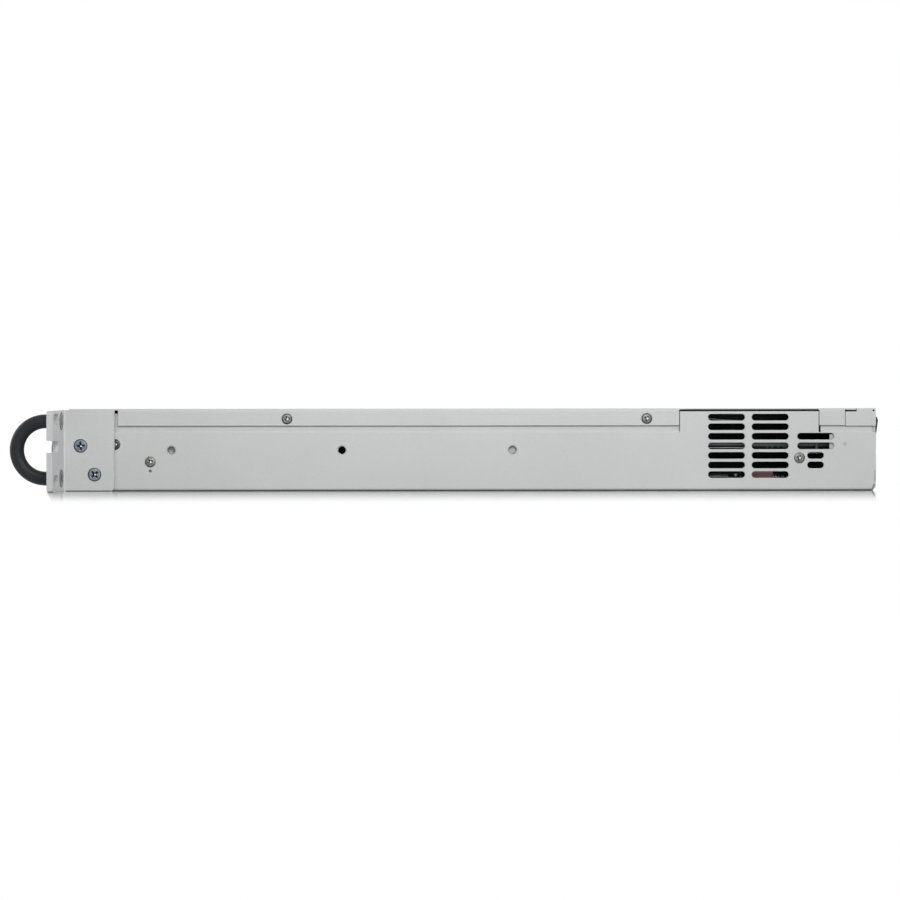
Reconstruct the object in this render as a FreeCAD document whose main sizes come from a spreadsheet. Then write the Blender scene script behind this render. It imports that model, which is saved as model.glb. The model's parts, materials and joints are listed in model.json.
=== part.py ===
import FreeCAD, Part
import math
import os
import Sketcher

# Sizes in millimetres: each is written once, in the spreadsheet
SIZES = {
    # case
    "chassis_width": 422.8,
    "chassis_height": 43.6,
    "body_depth": 433.8,
    "sheet": 1.2,
    "cover_sheet": 0.8,
    "lap_gap": 0.1,
    "fold_radius": 1.6,
    "cover_bend": 0.9,
    "cover_trim": 0.1,
    "lip_radius": 1.0,
    "corner_hole_in": 1.3,
    "corner_hole_radius": 0.5,
    # joggled side walls and the cover's flanges, measured down from the top
    "joggle_drop": 12.7,
    "joggle_rise": 1.1,
    "inset_wall_drop": 2.6,
    "vent_wall_drop": 1.65,
    "flange_drop": 9.1,
    "rear_tab_drop": 9.4,
    "rear_tab_top_drop": 1.75,
    # places along the side, behind the front face of the rack ears
    "cover_front": 5.0,
    "flange_front": 31.1,
    # places along the side, ahead of the rear face
    "inset_end": 104.3,
    "flange_end": 104.5,
    "vent_wall_front": 104.1,
    "vent_wall_end": 30.4,
    "rear_flange_front": 30.0,
    "inset_restart": 29.2,
    "rear_return_front": 24.3,
    "rear_flange_end": 16.4,
    "rear_tab_front": 16.1,
    "cover_end": 10.3,
    # side vents, the starts ahead of the rear face
    "vent_length": 19.7,
    "vent_height": 3.55,
    "vent_low": 8.3,
    "vent_drop": 4.8,
    "vent_column": 23.2,
    "vent_front": 89.2,
    "vent_last": 41.8,
    "short_vent_front": 36.5,
    "short_vent_length": 8.9,
    # screws and holes in the sides
    "cover_screw_front": 120.9,
    "cover_screw_rear": 121.7,
    "cover_screw_drop": 5.5,
    "wall_screw_front": 48.2,
    "wall_screw_front_up": 15.3,
    "wall_screw_rear": 40.6,
    "wall_screw_rear_up": 17.1,
    "edge_screw_back": 29.4,
    "edge_screw_up": 24.6,
    "case_head_radius": 2.75,
    "case_shank_radius": 1.5,
    "case_screw_length": 7.0,
    "head_gap": 0.15,
    "slide_hole_front": 59.3,
    "slide_hole_pitch": 90.7,
    "slide_hole_up": 21.5,
    "slide_hole_radius": 2.6,
    "slide_thread_radius": 2.05,
    "slide_nut_radius": 4.2,
    "slide_nut_length": 4.2,
    "pin_hole_radius": 0.8,
    "dimple_front": 16.4,
    "dimple_up": 24.4,
    "dimple_depth": 0.3,
    # rack ears
    "ear_reach": 29.9,
    "ear_thickness": 3.0,
    "ear_drop": 1.9,
    "ear_plate_drop": 0.7,
    "ear_plate_length": 29.4,
    "ear_corner": 2.0,
    "ear_fold": 0.8,
    "notch_height": 6.2,
    "notch_rise": 1.6,
    "notch_depth": 14.4,
    "rack_slot_inset": 8.75,
    "rack_hole_rise": 31.75,
    "rack_slot_length": 11.5,
    "rack_slot_height": 5.8,
    "ear_screw_one_back": 11.8,
    "ear_screw_one_up": 23.9,
    "ear_screw_two_back": 19.2,
    "ear_screw_two_up": 8.7,
    "ear_head_radius": 3.5,
    "ear_head_height": 1.7,
    "ear_shank_radius": 2.0,
    "ear_screw_length": 8.5,
    # handles
    "handle_bar_radius": 3.7,
    "handle_bend_radius": 15.05,
    "handle_leg": 5.4,
    "handle_out": 8.6,
    "handle_head_radius": 4.6,
    "handle_head_height": 2.1,
    "handle_shank_radius": 2.4,
    "handle_screw_length": 10.0,
    # front bezel and sub-panel
    "bezel_proud": 4.0,
    "bezel_wall": 2.5,
    "bezel_rim": 2.0,
    "bezel_gap": 0.2,
    "bezel_low": 0.8,
    "bezel_drop": 1.7,
    "bezel_corner": 1.2,
    "subpanel_flange": 53.5,
    "subpanel_flange_gap": 1.0,
    "subpanel_lip": 12.0,
    # fans, the first one in from the left side
    "fan_inset": 61.4,
    "fan_gap": 2.0,
    "fan_depth": 20.0,
    "fan_duct_wall": 1.0,
    "fan_hub_radius": 10.5,
    "fan_blade_gap": 0.7,
    "fan_strut": 2.5,
    "fan_shaft_radius": 1.5,
    "running_gap": 0.05,
    "grille_length": 18.6,
    "grille_height": 3.2,
    "grille_rise": 5.0,
    # power switch, in from the left side
    "switch_inset": 21.4,
    "switch_width": 15.0,
    "switch_height": 23.0,
    "switch_lip": 1.5,
    "switch_depth": 18.0,
    "rocker_width": 10.0,
    "rocker_height": 15.6,
    "rocker_pin_radius": 1.2,
    "rocker_tilt": 8.0,
    # knobs and encoders
    "knob_after_fans": 44.0,
    "knob_inset": 67.4,
    "knob_radius": 7.6,
    "knob_length": 13.5,
    "knob_gap": 0.6,
    "knob_flute": 0.9,
    "shaft_radius": 3.0,
    "encoder_size": 12.0,
    "encoder_depth": 4.5,
    "bush_radius": 4.0,
    # display
    "window_gap": 14.0,
    "window_ledge": 2.0,
    "window_height": 24.0,
    "window_thickness": 1.6,
    "display_margin": 5.0,
    "display_height": 16.0,
    "display_depth": 5.0,
    "board": 1.6,
    # buttons
    "button_inset": 46.4,
    "button_pitch": 16.5,
    "button_low": 13.0,
    "button_rise": 17.0,
    "button_width": 11.0,
    "button_height": 6.0,
    "button_proud": 1.5,
    "button_gap": 0.3,
    "button_flange": 0.8,
    "tact_size": 6.0,
    "tact_height": 3.5,
    "lamp_radius": 1.0,
    "lamp_above": 5.6,
    # inside
    "standoff": 4.1,
    "standoff_radius": 3.0,
    "board_front": 70.0,
    "board_back": 25.8,
    "board_gap": 6.2,
    "sink_front": 95.8,
    "sink_set_in": 24.0,
    "sink_plate": 3.0,
    "sink_length": 73.8,
    "input_sink_length": 66.0,
    "sink_fin_low": 22.0,
    "sink_fin_high": 23.3,
    "sink_inset": 12.0,
    "sink_sheet": 0.8,
    "sink_rail": 1.7,
    "film_front": 67.3,
    "film_length": 13.2,
    "film_height": 3.4,
    "core_size": 60.0,
    "core_height": 28.0,
    "winding_proud": 3.0,
    "choke_radius": 20.0,
    "choke_bore": 7.0,
    "choke_height": 16.0,
    "choke_gap": 30.0,
    "can_radius": 14.0,
    "can_height": 28.0,
    "can_pitch": 32.0,
    "can_inset": 61.4,
    # rear, in from the sides
    "rear_vent_left": 48.0,
    "sense_inset": 39.4,
    "sense_width": 20.0,
    "sense_drop": 14.9,
    "sense_height": 10.6,
    "sense_proud": 5.9,
    "analog_inset": 95.4,
    "analog_drop": 14.6,
    "usb_inset": 28.4,
    "lan_inset": 51.4,
    "jack_up": 13.0,
    "bar_positive_inset": 127.4,
    "bar_negative_inset": 99.4,
    "bar_thickness": 4.0,
    "bar_height": 24.0,
    "bar_proud": 36.0,
    "bar_hole_radius": 3.3,
    "bar_hole_rise": 12.0,
    "insulator_depth": 4.0,
    "ground_inset": 65.4,
    "ground_up": 13.0,
    "inlet_inset": 31.4,
    "inlet_width": 27.0,
    "inlet_height": 20.0,
    "inlet_lip": 2.0,
    "inlet_depth": 18.0,
    "fit_gap": 0.2,
}

# How far a pocket that runs right through goes past the faces
PAST = 1.0

doc = FreeCAD.newDocument("power_supply")
sheet_page = doc.addObject("Spreadsheet::Sheet", "dims")
for row, (alias, amount) in enumerate(SIZES.items(), 1):
    sheet_page.set(f"A{row}", alias)
    sheet_page.set(f"B{row}", str(amount))
    sheet_page.setAlias(f"B{row}", alias)
doc.recompute()


def number(size):
    return size.value if isinstance(size, Size) else float(size)


def formula(size):
    return size.text if isinstance(size, Size) else f"({float(size)})"


class Size:
    """A length that carries its value and the spreadsheet formula behind it."""

    def __init__(self, value, text):
        self.value = float(value)
        self.text = text

    def __add__(self, other):
        return Size(self.value + number(other), f"({self.text} + {formula(other)})")

    def __radd__(self, other):
        return Size(number(other) + self.value, f"({formula(other)} + {self.text})")

    def __sub__(self, other):
        return Size(self.value - number(other), f"({self.text} - {formula(other)})")

    def __rsub__(self, other):
        return Size(number(other) - self.value, f"({formula(other)} - {self.text})")

    def __mul__(self, other):
        return Size(self.value * number(other), f"({self.text} * {formula(other)})")

    def __truediv__(self, other):
        return Size(self.value / number(other), f"({self.text} / {formula(other)})")

    def __neg__(self):
        return Size(-self.value, f"(-1 * {self.text})")


class Sheet:
    """The spreadsheet's sizes by name."""

    def __getattr__(self, name):
        return Size(sheet_page.get(name), f"dims.{name}")


S = Sheet()
bodies = []

# Planes and places that many pieces share
half_width = S.chassis_width / 2
ear_face = -(S.body_depth / 2)
rear_face = S.body_depth / 2
panel_face = ear_face + S.ear_thickness
panel_back = panel_face + S.sheet
bezel_face = ear_face - S.bezel_proud
bezel_inside = bezel_face + S.bezel_wall
wall_inside = half_width - S.sheet
flange_inside = half_width - S.cover_sheet
inset_face = flange_inside - S.lap_gap
cover_under = S.chassis_height - S.cover_sheet
fan_size = S.chassis_height - S.sheet * 3
fan_middle = S.sheet + fan_size / 2
fan_pitch = fan_size + S.fan_gap
grille_pitch = fan_pitch / 2
board_top = S.sheet + S.standoff + S.board
rack_half = half_width + S.ear_reach
handle_across = half_width + S.handle_out
board_half = wall_inside - S.board_gap

# Heights that follow the case's height
middle_up = S.chassis_height / 2
joggle_low = S.chassis_height - S.joggle_drop
joggle_high = joggle_low + S.joggle_rise
inset_wall_top = S.chassis_height - S.inset_wall_drop
vent_wall_top = S.chassis_height - S.vent_wall_drop
vent_rise = (S.chassis_height - S.vent_drop - S.vent_low) / 6
flange_low = S.chassis_height - S.flange_drop
rear_tab_low = S.chassis_height - S.rear_tab_drop
rear_tab_top = S.chassis_height - S.rear_tab_top_drop
cover_screw_up = S.chassis_height - S.cover_screw_drop
ear_height = S.chassis_height - S.ear_drop
ear_plate_height = S.chassis_height - S.ear_plate_drop
bezel_top = S.chassis_height - S.bezel_drop
subpanel_flange_top = joggle_low - S.subpanel_flange_gap
sense_low = S.chassis_height - S.sense_drop
analog_up = S.chassis_height - S.analog_drop

# Places across the front and the rear that follow the case's width
switch_across = S.switch_inset - half_width
fan_first = S.fan_inset - half_width
voltage_across = fan_first + fan_pitch * 3 + S.knob_after_fans
current_across = half_width - S.knob_inset
window_left = voltage_across + S.window_gap
window_width = current_across - S.window_gap - window_left
display_width = window_width / 2 - S.display_margin * 2
button_first = half_width - S.button_inset
sense_right = half_width - S.sense_inset
analog_middle = half_width - S.analog_inset
usb_middle = half_width - S.usb_inset
lan_middle = half_width - S.lan_inset
bar_positive = S.bar_positive_inset - half_width
bar_negative = S.bar_negative_inset - half_width
ground_across = S.ground_inset - half_width
inlet_across = S.inlet_inset - half_width


def behind_ear(distance):
    return ear_face + distance


def ahead_of_rear(distance):
    return rear_face - distance


# Sketches, pads and pockets
def new_body(label):
    body = doc.addObject("PartDesign::Body", label)
    body.Label = label
    bodies.append(body)
    return body


def origin_part(body, role):
    return next(part for part in body.Origin.OriginFeatures if part.Role == role)


def bind(thing, path, size):
    thing.setExpression(path, formula(size))


def new_sketch(body, plane, place):
    sketch = body.newObject("Sketcher::SketchObject", "Sketch")
    sketch.AttachmentSupport = [(origin_part(body, plane + "_Plane"), "")]
    sketch.MapMode = "FlatFace"
    bind(sketch, "AttachmentOffset.Base.z", -place if plane == "XZ" else place)
    return sketch


def pin_point(sketch, shape, point, across, up):
    for kind, size in (("DistanceX", across), ("DistanceY", up)):
        place = sketch.addConstraint(Sketcher.Constraint(kind, -1, 1, shape, point, number(size)))
        bind(sketch, f"Constraints[{place}]", size)


def spot(across, up):
    return FreeCAD.Vector(number(across), number(up), 0)


def path(points):
    def draw(sketch):
        first = sketch.GeometryCount
        count = len(points)
        for i in range(count):
            sketch.addGeometry(Part.LineSegment(spot(*points[i]), spot(*points[(i + 1) % count])))
        for i in range(count):
            sketch.addConstraint(Sketcher.Constraint("Coincident", first + i, 2, first + (i + 1) % count, 1))
        for i in range(count):
            pin_point(sketch, first + i, 1, *points[i])
    return draw


def box(left, low, right, high):
    return path([(left, low), (right, low), (right, high), (left, high)])


def box_about(across, up, width, height):
    return box(across - width / 2, up - height / 2, across + width / 2, up + height / 2)


def disc(across, up, radius):
    def draw(sketch):
        first = sketch.addGeometry(Part.Circle(spot(across, up), FreeCAD.Vector(0, 0, 1), number(radius)))
        pin_point(sketch, first, 3, across, up)
        place = sketch.addConstraint(Sketcher.Constraint("Radius", first, number(radius)))
        bind(sketch, f"Constraints[{place}]", radius)
    return draw


def slot(left, right, up, height):
    """A level slot from its left end to its right end."""
    def draw(sketch):
        radius = height / 2
        start = left + radius
        stop = right - radius
        first = sketch.GeometryCount
        axis = FreeCAD.Vector(0, 0, 1)
        quarter = math.pi / 2
        sketch.addGeometry(Part.ArcOfCircle(Part.Circle(spot(start, up), axis, number(radius)), quarter, 3 * quarter))
        sketch.addGeometry(Part.ArcOfCircle(Part.Circle(spot(stop, up), axis, number(radius)), -quarter, quarter))
        sketch.addGeometry(Part.LineSegment(spot(start, up - radius), spot(stop, up - radius)))
        sketch.addGeometry(Part.LineSegment(spot(stop, up + radius), spot(start, up + radius)))
        for one, other in ((0, 2), (2, 1), (1, 3), (3, 0)):
            sketch.addConstraint(Sketcher.Constraint("Tangent", first + one, 2, first + other, 1))
        sketch.addConstraint(Sketcher.Constraint("Horizontal", first + 2))
        pin_point(sketch, first, 3, start, up)
        place = sketch.addConstraint(Sketcher.Constraint("DistanceX", -1, 1, first + 1, 3, number(stop)))
        bind(sketch, f"Constraints[{place}]", stop)
        place = sketch.addConstraint(Sketcher.Constraint("Radius", first, number(radius)))
        bind(sketch, f"Constraints[{place}]", radius)
    return draw


def slot_row(left, length, up, height, pitch, count):
    """Outlines of level slots in a row."""
    starts = [left + pitch * i for i in range(count)]
    return [slot(start, start + length, up, height) for start in starts]


def add(body, plane, low, high, *outlines):
    """Pad outlines drawn on a plane from its low place to its high place."""
    sketch = new_sketch(body, plane, high if plane == "XZ" else low)
    for outline in outlines:
        outline(sketch)
    pad = body.newObject("PartDesign::Pad", "Pad")
    pad.Profile = sketch
    bind(pad, "Length", high - low)
    return pad


def cut(body, plane, low, high, *outlines):
    """Pocket outlines drawn on a plane from its low place to its high place."""
    sketch = new_sketch(body, plane, low if plane == "XZ" else high)
    for outline in outlines:
        outline(sketch)
    pocket = body.newObject("PartDesign::Pocket", "Pocket")
    pocket.Profile = sketch
    bind(pocket, "Length", high - low)
    return pocket


def revolve(body, plane, points, along, remove=False):
    """Turn an outline about its sketch's level (H) or upright (V) axis."""
    sketch = new_sketch(body, plane, Size(0, "0"))
    path(points)(sketch)
    kind = "PartDesign::Groove" if remove else "PartDesign::Revolution"
    turned = body.newObject(kind, "Turned")
    turned.Profile = sketch
    turned.ReferenceAxis = (sketch, [along + "_Axis"])
    turned.Angle = 360
    return turned


def repeat(body, feature, axis, spacing, count):
    pattern = body.newObject("PartDesign::LinearPattern", "Pattern")
    pattern.Originals = [feature]
    pattern.Direction = (origin_part(body, axis + "_Axis"), [""])
    pattern.Mode = "Spacing"
    bind(pattern, "Offset", spacing)
    pattern.Occurrences = count
    body.Tip = pattern
    return pattern


def repeat_round(body, feature, axis, count):
    pattern = body.newObject("PartDesign::PolarPattern", "Ring")
    pattern.Originals = [feature]
    pattern.Axis = (origin_part(body, axis + "_Axis"), [""])
    pattern.Angle = 360
    pattern.Occurrences = count
    body.Tip = pattern
    return pattern


def mirror(body, *features):
    pattern = body.newObject("PartDesign::Mirrored", "Mirrored")
    pattern.Originals = list(features)
    pattern.MirrorPlane = (origin_part(body, "YZ_Plane"), [""])
    body.Tip = pattern
    return pattern


def edge_names(body, chosen):
    doc.recompute()
    names = []
    for i, edge in enumerate(body.Tip.Shape.Edges, 1):
        ends = [vertex.Point for vertex in edge.Vertexes]
        if len(ends) == 2 and chosen(*ends):
            names.append(f"Edge{i}")
    return names


def near(value, size):
    return abs(value - number(size)) < 1e-4


def edges_along_y(spots):
    def chosen(start, end):
        if abs(start.y - end.y) < 1e-4:
            return False
        return any(near(p.x, x) and near(p.z, z) for x, z in spots for p in [start]) and \
            near(end.x, start.x) and near(end.z, start.z)
    return chosen


def edges_along_x(spots):
    def chosen(start, end):
        if abs(start.x - end.x) < 1e-4:
            return False
        return any(near(start.y, y) and near(start.z, z) for y, z in spots) and \
            near(end.y, start.y) and near(end.z, start.z)
    return chosen


def edges_along_z(spots):
    def chosen(start, end):
        if abs(start.z - end.z) < 1e-4:
            return False
        return any(near(start.x, x) and near(start.y, y) for x, y in spots) and \
            near(end.x, start.x) and near(end.y, start.y)
    return chosen


def round_edges(body, radius, chosen):
    names = edge_names(body, chosen)
    base = body.Tip
    fillet = body.newObject("PartDesign::Fillet", "Fillet")
    fillet.Base = (base, names)
    bind(fillet, "Radius", radius)
    return fillet


def place_body(body, across, back, up):
    bind(body, "Placement.Base.x", across)
    bind(body, "Placement.Base.y", back)
    bind(body, "Placement.Base.z", up)
    return body


def mirrored_piece(label, source):
    piece = doc.addObject("Part::Mirroring", label)
    piece.Label = label
    piece.Source = source
    piece.Base = FreeCAD.Vector(0, 0, 0)
    piece.Normal = FreeCAD.Vector(1, 0, 0)
    return piece


def group(label, *sets):
    """One piece made of copies of templates, each template with its placements."""
    doc.recompute()
    copies = []
    for template, placements in sets:
        for placement in placements:
            copy = template.Shape.copy()
            copy.Placement = placement
            copies.append(copy)
    piece = doc.addObject("Part::Feature", label)
    piece.Label = label
    piece.Shape = Part.makeCompound(copies)
    return piece


def placed(across, back, up, axis=(0, 0, 1), turn=0.0):
    spot_vector = FreeCAD.Vector(number(across), number(back), number(up))
    return FreeCAD.Placement(spot_vector, FreeCAD.Rotation(FreeCAD.Vector(*axis), turn))


def template_body(label):
    body = new_body(label)
    bodies.remove(body)
    return body


# Case
def side_hole_places():
    """Places along and up the side walls where the flush case screws sit."""
    return {
        "cover": [(S.cover_screw_front, cover_screw_up), (S.body_depth - S.cover_screw_rear, cover_screw_up)],
        "wall": [
            (S.wall_screw_front, S.wall_screw_front_up),
            (S.body_depth - S.wall_screw_rear, S.wall_screw_rear_up),
            (S.edge_screw_back, S.edge_screw_up),
        ],
        "ear": [(S.ear_screw_one_back, S.ear_screw_one_up), (S.ear_screw_two_back, S.ear_screw_two_up)],
    }


def side_discs(places, radius):
    return [disc(behind_ear(back), up, radius) for back, up in places]


def joggle_outline(side):
    points = [
        (half_width, joggle_low),
        (inset_face, joggle_high),
        (inset_face, inset_wall_top),
        (inset_face - S.sheet, inset_wall_top),
        (inset_face - S.sheet, joggle_high),
        (wall_inside, joggle_low),
    ]
    return path([(x * side, z) for x, z in points])


def make_base_chassis():
    body = new_body("base_chassis")
    low = joggle_low
    add(body, "XZ", panel_face, rear_face, path([
        (-half_width, 0), (half_width, 0), (half_width, low), (wall_inside, low),
        (wall_inside, S.sheet), (-wall_inside, S.sheet), (-wall_inside, low), (-half_width, low),
    ]))
    round_edges(body, S.fold_radius, edges_along_y([(half_width, 0), (-half_width, 0)]))
    inset_start = panel_back + S.head_gap * 2
    inset_stop = rear_face - S.sheet - S.head_gap * 2
    add(body, "XZ", inset_start, ahead_of_rear(S.inset_end), joggle_outline(1), joggle_outline(-1))
    add(body, "XZ", ahead_of_rear(S.inset_restart), inset_stop, joggle_outline(1), joggle_outline(-1))
    add(body, "XZ", ahead_of_rear(S.vent_wall_front), ahead_of_rear(S.vent_wall_end),
        box(wall_inside, low, half_width, vent_wall_top),
        box(-half_width, low, -wall_inside, vent_wall_top))
    left = -half_width - PAST
    right = half_width + PAST
    vents = cut(body, "YZ", left, right,
                *slot_row(ahead_of_rear(S.vent_front), S.vent_length, S.vent_low, S.vent_height, S.vent_column, 2))
    repeat(body, vents, "Z", vent_rise, 7)
    last = ahead_of_rear(S.vent_last)
    third_row = S.vent_low + vent_rise * 3
    long_vents = cut(body, "YZ", left, right, slot(last, last + S.vent_length, third_row, S.vent_height))
    repeat(body, long_vents, "Z", vent_rise, 2)
    short = ahead_of_rear(S.short_vent_front)
    second_row = S.vent_low + vent_rise
    short_vents = cut(body, "YZ", left, right,
                      slot(short, short + S.short_vent_length, second_row, S.vent_height))
    repeat(body, short_vents, "Z", vent_rise, 2)
    slide_hole = cut(body, "YZ", left, right,
                     disc(behind_ear(S.slide_hole_front), S.slide_hole_up, S.slide_hole_radius))
    repeat(body, slide_hole, "Y", S.slide_hole_pitch, 3)
    places = side_hole_places()
    cut(body, "YZ", left, right,
        *side_discs(places["wall"], S.case_head_radius + S.head_gap),
        *side_discs(places["cover"], S.case_shank_radius + S.head_gap),
        *side_discs(places["ear"], S.ear_shank_radius + S.head_gap),
        disc(behind_ear(S.wall_screw_front), S.wall_screw_front_up - 4.8, S.pin_hole_radius))
    bevel_rise = S.sheet * 2.5
    bevel_run = S.sheet * 1.2
    cut(body, "YZ", left, right, path([
        (rear_face + PAST, -PAST), (rear_face + PAST, bevel_rise), (rear_face, bevel_rise),
        (rear_face - bevel_run, 0), (rear_face - bevel_run, -PAST),
    ]))
    dimple = cut(body, "YZ", half_width - S.dimple_depth, right,
                 disc(ahead_of_rear(S.dimple_front), S.dimple_up, S.pin_hole_radius))
    mirror(body, dimple)
    return body


def make_top_cover():
    """A thin folded lid, its flanges cut away near both ends and above the side vents."""
    body = new_body("top_cover")
    top = S.chassis_height
    front = behind_ear(S.cover_front)
    back = ahead_of_rear(S.cover_end)
    add(body, "XZ", front, back, path([
        (-half_width, flange_low), (-flange_inside, flange_low), (-flange_inside, cover_under),
        (flange_inside, cover_under), (flange_inside, flange_low), (half_width, flange_low),
        (half_width, top), (-half_width, top),
    ]))
    round_edges(body, S.cover_bend + S.cover_sheet, edges_along_y([(half_width, top), (-half_width, top)]))
    round_edges(body, S.cover_bend, edges_along_y([(flange_inside, cover_under), (-flange_inside, cover_under)]))
    low = flange_low - PAST
    high = cover_under - S.cover_trim
    cut(body, "YZ", -half_width - PAST, half_width + PAST,
        box(front - PAST, low, behind_ear(S.flange_front), high),
        box(ahead_of_rear(S.flange_end), low, ahead_of_rear(S.rear_flange_front), high),
        box(ahead_of_rear(S.rear_flange_end), low, back + PAST, high),
        *side_discs(side_hole_places()["cover"], S.case_head_radius + S.head_gap))
    return body


def make_rear_panel():
    body = new_body("rear_panel")
    edge = wall_inside - S.lap_gap
    low = rear_tab_low
    plate_front = rear_face - S.sheet
    add(body, "XZ", plate_front, rear_face, path([
        (-edge, S.sheet), (edge, S.sheet), (edge, low), (half_width, low),
        (half_width, S.chassis_height), (-half_width, S.chassis_height), (-half_width, low), (-edge, low),
    ]))
    returned = add(body, "YZ", edge - S.sheet, edge,
                   box(ahead_of_rear(S.rear_return_front), S.sheet, plate_front, subpanel_flange_top))
    mirror(body, returned)
    tab_front = ahead_of_rear(S.rear_tab_front)
    lip_front = ahead_of_rear(S.cover_end) + S.head_gap
    right = add(body, "YZ", flange_inside, half_width, path([
        (tab_front, low), (plate_front, low), (plate_front, S.chassis_height),
        (lip_front, S.chassis_height), (lip_front, rear_tab_top), (tab_front, rear_tab_top),
    ]))
    mirror(body, right)
    add(body, "XY", S.chassis_height - S.sheet, S.chassis_height,
        box(-half_width, lip_front, half_width, plate_front))
    round_edges(body, S.lip_radius, edges_along_y([
        (half_width, S.chassis_height), (-half_width, S.chassis_height)]))
    corner_hole = cut(body, "YZ", flange_inside - S.lip_radius, half_width + PAST, disc(
        ahead_of_rear(S.corner_hole_in), S.chassis_height - S.corner_hole_in, S.corner_hole_radius))
    mirror(body, corner_hole)
    openings = [
        box_about(sense_right + S.sense_width / 2, sense_low + S.sense_height / 2,
                  S.sense_width + S.fit_gap, S.sense_height + S.fit_gap),
        box_about(analog_middle, analog_up, 40 + S.fit_gap, 9.5 + S.fit_gap),
        box_about(usb_middle, S.jack_up, 12 + S.fit_gap, 11 + S.fit_gap),
        box_about(lan_middle, S.jack_up, 16 + S.fit_gap, 14 + S.fit_gap),
        box_about(bar_positive, middle_up, S.bar_thickness + 3, S.bar_height + 3),
        box_about(bar_negative, middle_up, S.bar_thickness + 3, S.bar_height + 3),
        box_about(inlet_across, middle_up, S.inlet_width + S.fit_gap, S.inlet_height + S.fit_gap),
        disc(ground_across, S.ground_up, 2.5 + S.fit_gap),
    ]
    cut(body, "XZ", plate_front - PAST, rear_face + PAST, *openings)
    vents = cut(body, "XZ", plate_front - PAST, rear_face + PAST,
                *slot_row(-S.rear_vent_left, S.vent_length, S.vent_low, S.vent_height, S.vent_column, 5))
    repeat(body, vents, "Z", vent_rise, 7)
    return body


def make_front_subpanel():
    body = new_body("front_subpanel")
    edge = wall_inside - S.lap_gap
    top = cover_under
    add(body, "XZ", panel_face, panel_back, box(-edge, S.sheet, edge, top))
    add(body, "XY", top - S.sheet, top,
        box(-edge + 2, panel_back, edge - 2, panel_face + S.subpanel_lip))
    right = add(body, "YZ", edge - S.sheet, edge,
                box(panel_back, S.sheet, behind_ear(S.subpanel_flange), subpanel_flange_top))
    mirror(body, right)
    places = side_hole_places()
    cut(body, "YZ", -half_width, half_width,
        *side_discs([places["wall"][0], places["wall"][2]], S.case_shank_radius + S.head_gap),
        *side_discs(places["ear"], S.ear_shank_radius + S.head_gap))
    hole = cut(body, "XZ", panel_face - PAST, panel_back + PAST,
               disc(fan_first, fan_middle, fan_size / 2 - S.fan_duct_wall))
    repeat(body, hole, "X", fan_pitch, 4)
    cut(body, "XZ", panel_face - PAST, panel_back + PAST,
        box_about(switch_across, middle_up, S.switch_width - 1.6, S.switch_height - 1.6),
        box(voltage_across - S.encoder_size, 7, edge - 8, S.chassis_height - 7))
    return body


def button_places():
    places = []
    for up in (S.button_low, S.button_low + S.button_rise):
        for column in range(3):
            places.append((button_first + S.button_pitch * column, up))
    return places


def lamp_places():
    lamps = [(across, up + S.lamp_above) for across, up in button_places()]
    lamps.append((voltage_across, middle_up + S.knob_radius + 5))
    lamps.append((current_across, middle_up + S.knob_radius + 5))
    return lamps


def make_front_bezel():
    body = new_body("front_bezel")
    side = half_width - S.bezel_gap
    add(body, "XZ", bezel_face, panel_face, box(-side, S.bezel_low, side, bezel_top))
    round_edges(body, S.bezel_corner, edges_along_y([
        (x, z) for x in (side, -side) for z in (S.bezel_low, bezel_top)]))

    def front_rim(start, end):
        return near(start.y, bezel_face) and near(end.y, bezel_face)

    round_edges(body, S.bezel_corner * 0.8, front_rim)
    cut(body, "XZ", bezel_inside, panel_face, box(
        -side + S.bezel_rim, S.bezel_low + S.bezel_rim, side - S.bezel_rim, bezel_top - S.bezel_rim))
    left = fan_first - grille_pitch / 2 - S.grille_length / 2
    low = fan_middle - S.grille_rise * 3
    grille = cut(body, "XZ", bezel_face - PAST, bezel_inside + PAST,
                 *slot_row(left, S.grille_length, low, S.grille_height, grille_pitch, 8))
    repeat(body, grille, "Z", S.grille_rise, 7)
    window = box(window_left, middle_up - S.window_height / 2,
                 window_left + window_width, middle_up + S.window_height / 2)
    inner = box_about(window_left + window_width / 2, middle_up,
                      window_width - S.window_ledge * 2, S.window_height - S.window_ledge * 2)
    cut(body, "XZ", bezel_face - PAST, bezel_face + S.window_thickness, window)
    cut(body, "XZ", bezel_face - PAST, bezel_inside + PAST, inner,
        box_about(switch_across, middle_up, S.switch_width - 1.6, S.switch_height - 1.6),
        disc(voltage_across, middle_up, S.bush_radius + S.fit_gap),
        disc(current_across, middle_up, S.bush_radius + S.fit_gap),
        *[box_about(across, up, S.button_width + S.button_gap * 2, S.button_height + S.button_gap * 2)
          for across, up in button_places()],
        *[disc(across, up, S.lamp_radius + S.fit_gap) for across, up in lamp_places()])
    return body


def ear_hole_rises():
    return (middle_up - S.rack_hole_rise / 2, middle_up + S.rack_hole_rise / 2)


def handle_rises():
    return (middle_up - S.handle_bend_radius, middle_up + S.handle_bend_radius)


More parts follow.
